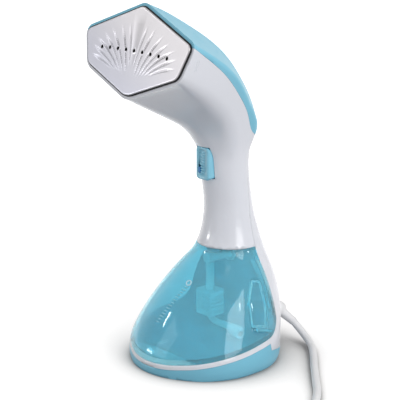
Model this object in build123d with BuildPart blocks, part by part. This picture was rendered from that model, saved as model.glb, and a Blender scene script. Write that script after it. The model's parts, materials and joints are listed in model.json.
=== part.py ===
from build123d import *
from math import cos, hypot, radians, sin, tan
import os

# Handheld garment steamer with a removable water tank. Millimetres, +Z up, the steam plate faces -Y and
# the tank's filler flap is on the +X side. The origin is on the floor under the tank.

# ---- Walls and clearances ----
wall = 2.2             # moulded shells
tank_wall = 2.4        # clear tank
fit = 0.1              # between pieces that seat in each other
seam = 0.2             # visible gap between two covers
run = 0.35             # round a piece that moves
pin_fit = 0.06         # radial, between a pin and the hole that turns or slides on it

# ---- Side view, (y, z) ----
reach = 75.0           # beyond the widest part, for cuts right across the body
tall = 300.0           # above the highest part
split = 27.0           # plane between the front and rear shells, and back of the tank's space
tank_top = 87.5
tank_corner = 15.0     # rounding of the tank's lower back edge
tank_floor = [(-reach, 6.0), (-20.0, 18.6), (split, 25.4)]
foot_top = [(-reach, 2.2), (-20.0, 15.0), (14.0, 19.6)]
heel_step = (15.2, 14.0)   # the white foot of the spine steps down here
heel_end = (reach, 1.0)
foot_floor = 2.6
spine_floor = 14.6     # underside of the floor inside the spine
shelf = 2.2            # ribs and floors inside the shells
cover_line = [(-80.0, 262.5), (-51.0, 246.0), (-25.5, 230.0), (-1.5, 210.2), (15.5, 191.0), (24.0, 178.0),
              (33.0, 172.5), (60.0, 168.5)]
heel_top = (51.0, 184.5)   # the cover's heel is cut off flat from here
heel_foot = (39.5, 167.5)  # to here

# ---- Steam plate, in its own plane ----
plate_centre = (-71.6, 241.9)
plate_tilt = 15.7      # leans back from upright, degrees
plate_outline = [(0, 37.0), (-57.6, 14.3), (-49.6, -9.5), (0, -28.3), (49.6, -9.5), (57.6, 14.3)]
plate_radii = [8.0, 4.5, 9.0, 16.0, 9.0, 4.5]
plate_thick = 4.0
plate_step = 4.0       # the plate's back is this much smaller all round
plate_depth = 10.0     # from the face to the boiler's seat
plate_proud = 2.0      # face in front of the shells' rim
plate_edge = 1.0       # rounding of the face's edge
seal_width = 0.8
seal_proud = 1.0       # seal in front of the rim
seal_back = 6.6        # depth of the seal's back
hole_count = 9
hole_pitch = 9.0
hole_radius = 1.2
hole_height = 4.6      # of the middle hole above the plate's centre
hole_bow = 1.2         # the outer holes lie this much lower

# ---- Rings that the skin runs through ----
ring_round = 1.148     # how far a rounded hexagon's corners stand beyond its sides
foot_rows = [          # height, front y, back y, half width
    (0, -61.2, 54.5, 56.0), (10, -61.2, 56.0, 58.8), (22, -57.2, 56.8, 57.2), (36, -47.8, 58.0, 53.4),
    (50, -36.8, 58.0, 47.6), (62, -25.8, 56.3, 41.2), (74, -13.6, 53.0, 33.2), (84, -4.2, 49.8, 26.7),
    (96, 0.6, 46.2, 22.6), (110, 2.6, 42.1, 19.6), (122, 2.5, 39.8, 18.6)]
neck_rows = [(134, 0.8, 37.8, 18.3), (147, -1.2, 36.4, 18.6)]
# chin (y, z), crown (y, z), half widths high and low, their shares of the height, corner radii
head_rows = [
    ((-5.0, 158.0), (39.8, 163.8), 20.2, 19.8, 0.73, 0.24, (17, 17, 17, 19)),
    ((-11.6, 167.0), (47.6, 184.0), 23.6, 22.8, 0.70, 0.26, (13, 9, 18, 19)),
    ((-17.0, 174.0), (43.6, 200.3), 27.8, 26.0, 0.66, 0.27, (11, 5, 18, 18)),
    ((-24.5, 181.0), (33.8, 216.3), 32.6, 29.5, 0.635, 0.28, (10, 4, 18, 18)),
    ((-34.5, 187.5), (20.5, 232.5), 38.4, 34.0, 0.64, 0.28, (9, 3.5, 18, 18)),
    ((-46.0, 193.8), (2.0, 247.7), 45.0, 39.5, 0.655, 0.285, (8, 3.5, 17, 18)),
    ((-59.0, 200.8), (-23.5, 263.0), 51.4, 45.0, 0.66, 0.288, (8, 3.5, 15, 18)),
    ((-71.0, 207.3), (-46.0, 274.6), 56.8, 49.5, 0.655, 0.288, (8, 3.5, 12, 18))]

# ---- Boiler behind the plate, in the plate's plane ----
boiler_size = (76.0, 24.0)
boiler_rise = -1.5     # centre above the plate's centre
boiler_corner = 6.0
boiler_deep = 20.0
chamber_size = (62.0, 13.0)
channel_size = (75.0, 5.0)
channel_deep = 4.0
gasket_thick = 1.4
lid_thick = 3.0
boiler_screw_at = (34.0, 8.2)
heater_radius = 3.0
heater_out = 0.8       # centre line outside the block's sides
heater_foot = -6.0     # its legs end this far above the plate's centre
heater_pin = (1.1, 5.0)
thermostat_at = (-20.0, -1.5)
thermostat_size = (8.0, 6.0)
fuse_at = (22.0, -1.5)
fuse_size = (2.2, 12.0)
inlet_rise = 0.0

# ---- Pump in the neck, upright ----
pump_y = 22.0
pump_radius = 9.0
pump_bottom = 112.0
pump_top = 134.0
pump_cap = 2.0
core_radius = 5.0
port_radius = 5.0      # the pump's two ends, held in rubber bushes
port_length = 6.0
bush_radius = 7.5
bush_neck = 6.3
bush_height = 5.0
barb_radius = 2.2
barb_length = 5.5
barb_bore = 1.2
plunger_radius = 3.0
plunger_length = 12.0
plunger_stroke = 1.5
hose_radius = 3.2
hose_bend = 5.5
crossing_z = 94.2      # the suction hose passes over the tank's wall at this height
delivery_points = [(170.0, 22.0), (203.0, 7.0)]   # z and y of the delivery hose's bends

# ---- Water from the tank ----
outlet_z = 78.0
outlet_front = 3.0     # y of the tube that hangs in the tank
spout_radius = 3.2
spout_end = 35.0
socket_bore = 4.35
socket_radius = 6.0
socket_flange = 8.0
socket_end = 41.0
socket_riser = 37.0    # y of its upright barb
riser_foot = 84.5
riser_top = 88.0
outlet_flange = 6.5
outlet_body = 4.0
nipple_length = 6.0
seal_ring = 0.5
seal_y = 31.5
filter_top = 52.0
filter_bottom = 33.0
filter_size = (18.0, 16.0)
intake_lean = 8.8      # the tank's floor there slopes this much, degrees
intake_aim = -11.0     # towards the weight, degrees from +X
intake_drop = 5.2      # hose's centre line under the filter
intake_reach = 30.0
intake_radius = 2.5
weight_radius = 4.5
weight_length = 13.0
weight_rise = 1.9

# ---- Filler flap, on a plane that lies on the tank's side ----
flap_origin = (53.7, 5.5, 33.0)
flap_normal = (0.903, 0.018, 0.428)
flap_across = (0.109, 0.955, -0.270)
flap_outline = [(-9.0, 0.0), (8.0, 0.0), (8.0, 20.0), (4.5, 39.0), (-5.5, 39.0), (-11.0, 20.0)]
flap_radii = [2.5, 2.5, 14.0, 4.0, 4.0, 14.0]
hinge_drop = 1.5       # pin below the flap's lower edge
hinge_out = 2.9        # pin outside the flap's plane
hinge_radius = 1.6
hinge_pin = 0.8
hinge_half = 5.0       # half width of the flap's barrel
lug_width = 2.6

# ---- Trigger, switch and lock ----
trigger_half = 7.1     # half width
trigger_top = 166.6
trigger_bottom = 140.9
trigger_face = -5.6    # y of its front
trigger_back = 3.6
trigger_skin = 2.0
trigger_corner = 3.0
trigger_pin_y = 1.2
trigger_pin_z = 161.5
trigger_slope = 2.5    # its underside rises this much towards the back
pin_radius = 1.2
pin_half = 8.8
ear_half = 9.3
trigger_dip = 0.95     # room under it for its swing
rib_count = 9
rib_pitch = 1.95
rib_size = (5.4, 0.9)
panel_size = (7.4, 19.6)
panel_deep = 0.5
panel_z = 154.6
switch_size = (6.5, 10.3, 18.0)
switch_front = 6.6
switch_bottom = 142.4
button_z = 150.0
button_radius = 1.4
button_length = 5.0
button_out = 2.0
lock_size = (2.1, 4.4)
lock_at = (-3.0, 148.4)
lock_travel = 2.0

# ---- Screws and feet ----
screw_radius = 1.5
screw_head = 2.8
screw_head_height = 1.8
boss_radius = 3.4
shell_screws = [(-9.5, 158.0), (9.5, 158.0), (-13.6, 92.8), (13.6, 92.8)]
shell_screw_tip = 16.0
shell_screw_head = 30.0
shell_boss_front = 13.0
base_screws = [(-28.0, -30.0), (28.0, -30.0), (-26.0, 38.0), (26.0, 38.0)]
base_screw_tip = 11.0
foot_pad_radius = 5.0
foot_pads = [(-36.0, -36.0), (36.0, -36.0), (-38.0, 30.0), (38.0, 30.0)]
foot_pad_deep = 1.2

# ---- Mains cord ----
cord_radius = 3.0
ball_at = (12.5, 66.0, 24.0)
ball_radius = 6.5
ball_aim = (0.21, 0.977, 0.0)
cord_boss_radius = 8.6
cord_boss_out = 3.4    # its two ends before the ball's centre
cord_boss_in = 11.5
cord_neck = 4.0
collar_radius = 6.0
collar_thick = 2.0
cord_tail = 26.0       # the cord's end inside, from the ball's centre
clamp_size = (13.0, 6.0, 12.0)
clamp_back = 18.0
block_size = (20.0, 9.0, 11.0)
block_bottom = 41.0
relief_tip = (25.4, 70.5, 15.6)
relief_radius = (4.0, 3.3)
cord_points = [(31.6, 71.2, 10.9), (38.6, 70.3, 7.1), (47.0, 67.6, 4.4), (57.0, 61.6, 3.3),
               (68.8, 51.9, 3.05),
               (83.5, 38.2, 3.0), (102.0, 19.6, 3.0), (121.0, -0.8, 3.0), (137.0, -25.0, 3.0),
               (148.0, -52.0, 3.0)]
coil_at = (196.0, -62.0)
coil_mean = 33.0
coil_across = 24.0
coil_high = 12.0
coil_in = 204.0        # where the lead joins the coil, degrees round it
coil_out = -10.0       # where its end leaves
plug_from = 26.0       # from there to the plug's relief
plug_relief = 20.0
plug_length = 32.0
plug_wide = 34.0
plug_deep = 20.0
plug_pin_radius = 2.4
plug_pin_length = 19.0
plug_pin_gap = 19.0
loom_radius = 1.3


def inset(points, distance):
    """Corners of a convex outline whose sides are moved inwards by a distance."""
    moved = []
    for number, point in enumerate(points):
        here = Vector(*point)
        before = (Vector(*points[number - 1]) - here).normalized()
        after = (Vector(*points[(number + 1) % len(points)]) - here).normalized()
        half_angle = radians(before.get_angle(after)) / 2
        corner = here + (before + after).normalized() * (distance / sin(half_angle))
        moved.append((corner.X, corner.Y))
    return moved


def upright_ring(height, front, back, half_width):
    """A level ring, nearly round: its plane, corners and corner radii."""
    middle = (front + back) / 2
    half = ring_round * (back - front) / 2
    corners = [(0, middle + half), (-half_width, middle + half / 2), (-half_width, middle - half / 2),
               (0, middle - half), (half_width, middle - half / 2), (half_width, middle + half / 2)]
    radius = 0.93 * min(half_width, (back - front) / 2)
    return Plane.XY.offset(height), corners, [radius] * 6


def leaning_ring(chin, crown, wide, low_wide, wide_share, low_share, radii):
    """A ring of the head, in the plane through its chin and its crown."""
    (chin_y, chin_z), (crown_y, crown_z) = chin, crown
    length = hypot(crown_y - chin_y, crown_z - chin_z)
    plane = Plane(origin=(0, chin_y, chin_z), x_dir=(1, 0, 0),
                  z_dir=(0, chin_z - crown_z, crown_y - chin_y))
    corners = [(0, length), (-wide, wide_share * length), (-low_wide, low_share * length),
               (0, 0), (low_wide, low_share * length), (wide, wide_share * length)]
    crown_radius, wide_radius, low_radius, chin_radius = radii
    return plane, corners, [crown_radius, wide_radius, low_radius, chin_radius, low_radius, wide_radius]


def plate_plane(depth):
    """Plane parallel to the steam plate, a depth behind its face."""
    lean = radians(plate_tilt)
    face = Plane(origin=(0, *plate_centre), x_dir=(1, 0, 0), z_dir=(0, -cos(lean), sin(lean)))
    return face.offset(-depth)


def rounded(plane, points, radii):
    """A flat outline with a radius at each corner."""
    with BuildSketch(plane) as outline:
        with BuildLine():
            FilletPolyline(*points, radius=radii, close=True)
        make_face()
    return outline.sketch


def plate_shape(depth, grow):
    """The steam plate's outline, grown all round, at a depth behind its face."""
    radii = [max(radius + grow, 0.6) for radius in plate_radii]
    return rounded(plate_plane(depth), inset(plate_outline, -grow), radii)


rim_grow = seal_width + wall
neck_join = foot_rows[-1][0]
rim_ring = (plate_plane(plate_proud), inset(plate_outline, -rim_grow),
            [radius + rim_grow for radius in plate_radii])
foot_rings = [upright_ring(*row) for row in foot_rows + neck_rows]
head_rings = foot_rings[len(foot_rows) - 3:] + [leaning_ring(*row) for row in head_rows] + [rim_ring]


def form(rings, depth):
    """Solid through the rings, its skin moved inwards by a depth."""
    with BuildPart() as solid:
        for plane, points, radii in rings:
            add(rounded(plane, inset(points, depth), [max(radius - depth, 0.6) for radius in radii]))
        loft()
    return solid.part


def low_form(depth):
    """The form below the join in the neck, its skin moved inwards by a depth."""
    with BuildPart() as solid:
        add(form(foot_rings, depth))
        with Locations((0, 0, neck_join)):
            Box(2 * reach, 4 * reach, tall, align=(Align.CENTER, Align.CENTER, Align.MIN),
                mode=Mode.SUBTRACT)
    return solid.part


def high_form(depth):
    """The form above the join in the neck, its skin moved inwards by a depth."""
    with BuildPart() as solid:
        add(form(head_rings, depth))
        with Locations((0, 0, neck_join)):
            Box(2 * reach, 4 * reach, tall, align=(Align.CENTER, Align.CENTER, Align.MAX),
                mode=Mode.SUBTRACT)
    return solid.part


def side_cut(outline, mode=Mode.SUBTRACT):
    """Carries a side-view outline right across the body."""
    extrude(outline, amount=reach, both=True, mode=mode)


def tank_side(grow):
    """Side view of the tank's space."""
    with BuildSketch(Plane.YZ) as outline:
        with BuildLine():
            ThreePointArc(*tank_floor)
            Polyline(tank_floor[2], (split, tank_top), (-reach, tank_top), tank_floor[0])
        make_face()
        corner = outline.vertices().group_by(Axis.X)[-1].sort_by(Axis.Y)[0]
        fillet(corner, tank_corner)
        if grow:
            offset(amount=grow, kind=Kind.INTERSECTION, mode=Mode.REPLACE)
    return outline.sketch


def foot_side(grow):
    """Side view of everything below the foot's top edge."""
    with BuildSketch(Plane.YZ) as outline:
        with BuildLine():
            ThreePointArc(*foot_top)
            Polyline(foot_top[2], heel_step, heel_end, (reach, -reach), (-reach, -reach), foot_top[0])
        make_face()
        if grow:
            offset(amount=grow, kind=Kind.INTERSECTION, mode=Mode.REPLACE)
    return outline.sketch


def cover_side(grow):
    """Side view of everything above the cover's edge."""
    with BuildSketch(Plane.YZ) as outline:
        with BuildLine():
            Spline(*[(y, z - grow) for y, z in cover_line])
            start = (cover_line[0][0], cover_line[0][1] - grow)
            end = (cover_line[-1][0], cover_line[-1][1] - grow)
            Polyline(end, (end[0], tall), (start[0], tall), start)
        make_face()
    return outline.sketch


def block(low, high, mode=Mode.ADD):
    """A box between two corners."""
    middle = tuple((a + b) / 2 for a, b in zip(low, high))
    with Locations(middle):
        Box(*[b - a for a, b in zip(low, high)], mode=mode)


def rod(start, end, radius, mode=Mode.ADD):
    """A round bar between two points."""
    line = Vector(*end) - Vector(*start)
    with BuildSketch(Plane(origin=start, z_dir=line)) as disc:
        Circle(radius)
    extrude(disc.sketch, amount=line.length, mode=mode)


def plate_point(x, rise, depth):
    """A point given from the steam plate's centre: across, up along the plate, and behind its face."""
    point = plate_plane(depth).from_local_coords(Vector(x, rise, 0))
    return point.X, point.Y, point.Z


def plate_block(size, corner, front, back, mode=Mode.ADD):
    """A rounded block of the boiler between two depths behind the plate's face."""
    with BuildSketch(plate_plane(back)) as outline:
        with Locations((0, boiler_rise)):
            RectangleRounded(*size, corner)
    extrude(outline.sketch, amount=back - front, mode=mode)


def bar(points, radii, radius, mode=Mode.ADD):
    """A round bar or hose of straight runs joined by arcs."""
    with BuildLine(mode=Mode.PRIVATE) as path:
        FilletPolyline(*points, radius=radii)
    line = path.wire()
    with BuildSketch(Plane(origin=line @ 0, z_dir=line % 0)) as disc:
        Circle(radius)
    sweep(sections=disc.sketch, path=line, mode=mode)


def arc_radii(points):
    """The largest arcs that a cord's runs allow, one for each corner."""
    radii = []
    for before, here, after in zip(points, points[1:], points[2:]):
        run_in = Vector(*here) - Vector(*before)
        run_out = Vector(*after) - Vector(*here)
        turn = radians(run_in.get_angle(run_out))
        radii.append(0.45 * min(run_in.length, run_out.length) / tan(turn / 2))
    return radii


def along(distance):
    """A point on the cord's axis through the rear shell, measured outwards from the ball's centre."""
    return tuple(place + distance * share for place, share in zip(ball_at, ball_aim))


def flap_point(across, rise, out):
    """A point given on the flap's plane."""
    point = flap_plane.from_local_coords(Vector(across, rise, out))
    return point.X, point.Y, point.Z


parts = {}

# ---- Forms shared by the shells ----
foot_form = low_form(0)
head_form = high_form(0)
foot_inside = low_form(wall)
head_inside = high_form(wall)
tank_inside = low_form(tank_wall)

with BuildPart() as skin:
    add(foot_form)
    add(head_form)

with BuildPart() as inside:
    add(foot_inside)
    add(head_inside)

with BuildPart() as rib_room:
    add(low_form(wall / 2))
    add(high_form(wall / 2))

# ---- Foot ----
with BuildPart() as foot_room:
    add(foot_inside)
    side_cut(foot_side(0), Mode.INTERSECT)
    block((-reach, -reach, -1), (reach, reach, foot_floor), Mode.SUBTRACT)

with BuildPart() as base_foot:
    add(foot_form)
    side_cut(foot_side(0), Mode.INTERSECT)
    add(foot_room.part, mode=Mode.SUBTRACT)
    for x, y in base_screws:
        rod((x, y, -1), (x, y, foot_floor + 1), screw_radius + fit, Mode.SUBTRACT)
        rod((x, y, -1), (x, y, screw_head_height), screw_head + fit, Mode.SUBTRACT)
    for x, y in foot_pads:
        rod((x, y, -1), (x, y, foot_pad_deep), foot_pad_radius, Mode.SUBTRACT)
parts["base_foot"] = base_foot

with BuildPart() as rubber_feet:
    for x, y in foot_pads:
        rod((x, y, 0), (x, y, foot_pad_deep), foot_pad_radius)
parts["rubber_feet"] = rubber_feet

with BuildPart() as base_screw_set:
    for x, y in base_screws:
        rod((x, y, 0.3), (x, y, screw_head_height), screw_head)
        rod((x, y, 0.3), (x, y, base_screw_tip), screw_radius)
        block((x - screw_radius, y - 0.4, 0), (x + screw_radius, y + 0.4, 1), Mode.SUBTRACT)
parts["base_screws"] = base_screw_set

# ---- Rear shell: spine, back of the neck and the platform under the tank, one moulding ----
with BuildPart() as spine_room:
    add(inside.part)
    side_cut(tank_side(wall))
    block((-reach, 0, spine_floor), (reach, reach, spine_floor + shelf), Mode.SUBTRACT)

with BuildPart() as rear_bosses:
    for x, z in shell_screws:
        rod((x, split, z), (x, reach, z), boss_radius)
    add(rib_room.part, mode=Mode.INTERSECT)
    rod(along(-cord_boss_in), along(-cord_boss_out), cord_boss_radius)
    for x, y in base_screws:
        rod((x, y, foot_floor + fit), (x, y, spine_floor + shelf / 2), boss_radius)

with BuildPart() as rear_shell:
    add(skin.part)
    side_cut(cover_side(0))
    side_cut(tank_side(0))
    block((-reach, -2 * reach, tank_top), (reach, split, tall), Mode.SUBTRACT)
    side_cut(foot_side(seam))
    add(spine_room.part, mode=Mode.SUBTRACT)
    add(rear_bosses.part)
    for x, y in base_screws:
        rod((x, y, 0), (x, y, base_screw_tip + fit), screw_radius + fit / 2, Mode.SUBTRACT)
    for x, z in shell_screws:
        rod((x, 0, z), (x, reach, z), screw_radius + fit, Mode.SUBTRACT)
        rod((x, shell_screw_head, z), (x, reach, z), screw_head + fit, Mode.SUBTRACT)
    rod((0, split - 1, outlet_z), (0, split + wall + 1, outlet_z), socket_radius + fit, Mode.SUBTRACT)
    rod(along(-cord_tail), along(0), cord_neck + fit, Mode.SUBTRACT)
    rod(along(-cord_tail), along(-cord_boss_in), collar_radius + fit, Mode.SUBTRACT)
    with Locations(ball_at):
        Sphere(ball_radius + fit, mode=Mode.SUBTRACT)
parts["rear_shell"] = rear_shell

# ---- Front shell: front of the neck and of the head ----
with BuildPart() as neck_room:
    add(inside.part)
    block((-reach, -reach, -1), (reach, reach, tank_top + wall), Mode.SUBTRACT)

with BuildPart() as front_ribs:
    for height in (pump_bottom - port_length / 2, pump_top + port_length / 2):
        block((-reach, -reach, height - shelf / 2), (reach, split - seam, height + shelf / 2))
    block((-bush_neck - fit, pump_y, pump_bottom - port_length),
          (bush_neck + fit, reach, pump_top + port_length),
          Mode.SUBTRACT)
    rod((0, pump_y, pump_bottom - port_length), (0, pump_y, pump_top + port_length), bush_neck + fit,
        Mode.SUBTRACT)
    block((-reach, switch_front + switch_size[1], switch_bottom),
          (reach, pump_y - hose_radius - fit, switch_bottom + switch_size[2]))
    for x, z in shell_screws:
        rod((x, shell_boss_front, z), (x, split - seam, z), boss_radius)
    for side in (-1, 1):
        block((min(side * pin_half, side * reach), shell_boss_front, shell_screws[0][1] - shelf / 2),
              (max(side * pin_half, side * reach), split - seam, shell_screws[0][1] + shelf / 2))
        block((min(side * (trigger_half + run), side * ear_half), -reach, trigger_pin_z - 4),
              (max(side * (trigger_half + run), side * ear_half), trigger_pin_y + 3.2, trigger_pin_z + 4))
    add(rib_room.part, mode=Mode.INTERSECT)

slot_low = trigger_bottom - trigger_dip
slot_back = trigger_back + 1.5
with BuildPart() as front_shell:
    add(skin.part)
    side_cut(cover_side(0))
    block((-reach, split - seam, -1), (reach, reach, tall), Mode.SUBTRACT)
    block((-reach, -2 * reach, -1), (reach, reach, tank_top), Mode.SUBTRACT)
    add(neck_room.part, mode=Mode.SUBTRACT)
    add(front_ribs.part)
    for x, z in shell_screws:
        rod((x, shell_screw_tip - fit, z), (x, reach, z), screw_radius + fit / 2, Mode.SUBTRACT)
    with BuildSketch(Plane.YZ) as trigger_slot:
        with BuildLine():
            Polyline((-reach, slot_low), (trigger_face, slot_low), (slot_back, slot_low + trigger_slope),
                     (slot_back, trigger_top + run), (-reach, trigger_top + run), close=True)
        make_face()
    extrude(trigger_slot.sketch, amount=trigger_half + run, both=True, mode=Mode.SUBTRACT)
    rod((-pin_half - fit, trigger_pin_y, trigger_pin_z), (pin_half + fit, trigger_pin_y, trigger_pin_z),
        pin_radius + fit / 2, Mode.SUBTRACT)
parts["front_shell"] = front_shell

with BuildPart() as shell_screw_set:
    for x, z in shell_screws:
        rod((x, shell_screw_tip, z), (x, shell_screw_head + screw_head_height, z), screw_radius)
        rod((x, shell_screw_head, z), (x, shell_screw_head + screw_head_height, z), screw_head)
        block((x - screw_radius, shell_screw_head + 0.9, z - 0.4),
              (x + screw_radius, shell_screw_head + screw_head_height, z + 0.4), Mode.SUBTRACT)
parts["shell_screws"] = shell_screw_set

# ---- Top cover ----
with BuildPart() as top_cover:
    add(head_form)
    side_cut(cover_side(-seam), Mode.INTERSECT)
    with BuildSketch(Plane.YZ) as heel:
        with BuildLine():
            Polyline(heel_top, (reach, heel_top[1]), (reach, heel_foot[1] - 10), heel_foot, close=True)
        make_face()
    side_cut(heel.sketch)
    add(head_inside, mode=Mode.SUBTRACT)
parts["top_cover"] = top_cover

# ---- Steam plate ----
hole_places = []
for number in range(hole_count):
    x = (number - (hole_count - 1) / 2) * hole_pitch
    hole_places.append((x, hole_height - hole_bow * (x / (hole_pitch * (hole_count - 1) / 2)) ** 2))

with BuildPart() as steam_plate:
    extrude(plate_shape(plate_thick, 0), amount=plate_thick)
    face_axis = Axis(plate_plane(0).origin, plate_plane(0).z_dir)
    fillet(steam_plate.faces().sort_by(face_axis)[-1].edges(), plate_edge)
    extrude(plate_shape(plate_depth, -plate_step), amount=plate_depth - plate_thick)
    with BuildSketch(plate_plane(plate_depth)) as holes:
        with Locations(*hole_places):
            Circle(hole_radius)
    extrude(holes.sketch, amount=plate_depth + 1, mode=Mode.SUBTRACT)
parts["steam_plate"] = steam_plate

with BuildPart() as seal_flange:
    extrude(plate_shape(seal_back, seal_width + wall), amount=seal_back - plate_proud)
    add(high_form(wall + fit), mode=Mode.INTERSECT)

with BuildPart() as plate_seal:
    extrude(plate_shape(plate_proud, seal_width - fit), amount=seal_proud)
    add(seal_flange.part)
    extrude(plate_shape(plate_thick + fit, fit / 2), amount=plate_thick, mode=Mode.SUBTRACT)
    extrude(plate_shape(seal_back + 1, fit - plate_step), amount=seal_back, mode=Mode.SUBTRACT)
parts["plate_seal"] = plate_seal

with BuildPart() as heat_shield:
    extrude(plate_shape(plate_depth, seal_width + wall), amount=plate_depth - seal_back - fit)
    add(high_form(wall + fit), mode=Mode.INTERSECT)
    extrude(plate_shape(plate_depth + 1, fit - plate_step), amount=plate_depth, mode=Mode.SUBTRACT)
parts["heat_shield"] = heat_shield

# ---- Boiler ----
boiler_back = plate_depth + boiler_deep
gasket_back = boiler_back + gasket_thick
lid_back = gasket_back + lid_thick
half_wide, half_high = boiler_size[0] / 2, boiler_size[1] / 2
heater_x = half_wide + heater_out
heater_top = boiler_rise + half_high + heater_out
heater_depth = plate_depth + boiler_deep / 2
heater_path = [plate_point(-heater_x, heater_foot, heater_depth),
               plate_point(-heater_x, heater_top, heater_depth),
               plate_point(heater_x, heater_top, heater_depth),
               plate_point(heater_x, heater_foot, heater_depth)]
heater_bends = [boiler_corner + heater_out] * 2
groove_foot = boiler_rise - half_high - heater_radius
groove_path = [plate_point(-heater_x, groove_foot, heater_depth), *heater_path[1:3],
               plate_point(heater_x, groove_foot, heater_depth)]
screw_places = [(x, boiler_rise + y) for x in (-boiler_screw_at[0], boiler_screw_at[0])
                for y in (-boiler_screw_at[1], boiler_screw_at[1])]

with BuildPart() as boiler_body:
    plate_block(boiler_size, boiler_corner, plate_depth, boiler_back)
    plate_block(chamber_size, boiler_corner / 2, plate_depth + channel_deep - 1, boiler_back,
                Mode.SUBTRACT)
    with BuildSketch(plate_plane(plate_depth + channel_deep)) as channel:
        with Locations((0, hole_height)):
            RectangleRounded(*channel_size, channel_size[1] / 2 - fit)
    extrude(channel.sketch, amount=channel_deep, mode=Mode.SUBTRACT)
    bar(groove_path, heater_bends, heater_radius + fit, Mode.SUBTRACT)
    for x, rise in screw_places:
        rod(plate_point(x, rise, boiler_back - 8), plate_point(x, rise, boiler_back),
            screw_radius + fit / 2,
            Mode.SUBTRACT)
parts["boiler_body"] = boiler_body

with BuildPart() as boiler_gasket:
    plate_block(boiler_size, boiler_corner, boiler_back, gasket_back)
    plate_block(chamber_size, boiler_corner / 2, boiler_back, gasket_back, Mode.SUBTRACT)
    for x, rise in screw_places:
        rod(plate_point(x, rise, boiler_back), plate_point(x, rise, gasket_back), screw_radius + fit,
            Mode.SUBTRACT)
parts["boiler_gasket"] = boiler_gasket

with BuildPart() as boiler_cover:
    plate_block(boiler_size, boiler_corner, gasket_back, lid_back)
    for x, rise in screw_places:
        rod(plate_point(x, rise, gasket_back), plate_point(x, rise, lid_back), screw_radius + fit,
            Mode.SUBTRACT)
    rod(plate_point(0, inlet_rise, lid_back), plate_point(0, inlet_rise, lid_back + lid_thick),
        hose_radius)
    rod(plate_point(0, inlet_rise, lid_back),
        plate_point(0, inlet_rise, lid_back + lid_thick + barb_length),
        barb_radius)
    rod(plate_point(0, inlet_rise, gasket_back),
        plate_point(0, inlet_rise, lid_back + lid_thick + barb_length),
        barb_bore, Mode.SUBTRACT)
parts["boiler_cover"] = boiler_cover

with BuildPart() as boiler_screw_set:
    for x, rise in screw_places:
        rod(plate_point(x, rise, boiler_back - 7), plate_point(x, rise, lid_back + screw_head_height),
            screw_radius)
        rod(plate_point(x, rise, lid_back), plate_point(x, rise, lid_back + screw_head_height), screw_head)
parts["boiler_screws"] = boiler_screw_set

with BuildPart() as heating_element:
    bar(heater_path, heater_bends, heater_radius)
    for side in (-1, 1):
        rod(plate_point(side * heater_x, heater_foot, heater_depth),
            plate_point(side * heater_x, heater_foot - heater_pin[1], heater_depth), heater_pin[0])
parts["heating_element"] = heating_element

with BuildPart() as thermostat:
    rod(plate_point(*thermostat_at, lid_back), plate_point(*thermostat_at, lid_back + thermostat_size[1]),
        thermostat_size[0])
    for x in (thermostat_at[0] - 4, thermostat_at[0] + 4):
        rod(plate_point(x, thermostat_at[1], lid_back + thermostat_size[1]),
            plate_point(x, thermostat_at[1], lid_back + thermostat_size[1] + 5), 1)
parts["thermostat"] = thermostat

fuse_depth = lid_back + fuse_size[0]
with BuildPart() as thermal_fuse:
    rod(plate_point(fuse_at[0] - fuse_size[1] / 2, fuse_at[1], fuse_depth),
        plate_point(fuse_at[0] + fuse_size[1] / 2, fuse_at[1], fuse_depth), fuse_size[0])
parts["thermal_fuse"] = thermal_fuse

# ---- Pump, its hoses and bushes ----
with BuildPart() as pump_body:
    rod((0, pump_y, pump_bottom), (0, pump_y, pump_bottom + pump_cap), pump_radius)
    rod((0, pump_y, pump_top - pump_cap), (0, pump_y, pump_top), pump_radius)
    rod((0, pump_y, pump_bottom - port_length), (0, pump_y, pump_top + port_length), core_radius)
    rod((0, pump_y, pump_bottom - port_length - barb_length),
        (0, pump_y, pump_top + port_length + barb_length),
        barb_radius)
    rod((0, pump_y, pump_bottom - port_length - barb_length),
        (0, pump_y, pump_top + port_length + barb_length),
        barb_bore, Mode.SUBTRACT)
    rod((0, pump_y, (pump_bottom + pump_top - plunger_length) / 2 - plunger_stroke - run),
        (0, pump_y, (pump_bottom + pump_top + plunger_length) / 2 + plunger_stroke + run),
        plunger_radius + pin_fit,
        Mode.SUBTRACT)
parts["pump_body"] = pump_body

with BuildPart() as pump_coil:
    rod((0, pump_y, pump_bottom + pump_cap), (0, pump_y, pump_top - pump_cap), pump_radius - 0.5)
    rod((0, pump_y, pump_bottom), (0, pump_y, pump_top), core_radius, Mode.SUBTRACT)
parts["pump_coil"] = pump_coil

with BuildPart() as pump_plunger:
    rod((0, pump_y, (pump_bottom + pump_top - plunger_length) / 2),
        (0, pump_y, (pump_bottom + pump_top + plunger_length) / 2), plunger_radius)
parts["pump_plunger"] = pump_plunger

with BuildPart() as pump_bushes:
    for height in (pump_bottom - port_length / 2, pump_top + port_length / 2):
        rod((0, pump_y, height - bush_height / 2), (0, pump_y, height + bush_height / 2), bush_neck)
        rod((0, pump_y, height - bush_height / 2), (0, pump_y, height - shelf / 2 - fit), bush_radius)
        rod((0, pump_y, height + shelf / 2 + fit), (0, pump_y, height + bush_height / 2), bush_radius)
    rod((0, pump_y, pump_bottom - port_length), (0, pump_y, pump_top + port_length), port_radius,
        Mode.SUBTRACT)
parts["pump_bushes"] = pump_bushes

suction_path = [(0, pump_y, pump_bottom - port_length), (0, pump_y, crossing_z),
                (0, socket_riser, crossing_z), (0, socket_riser, riser_foot)]
with BuildPart() as suction_hose:
    bar(suction_path, [hose_bend] * 2, hose_radius)
    bar(suction_path, [hose_bend] * 2, barb_radius, Mode.SUBTRACT)
parts["suction_hose"] = suction_hose

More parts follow.
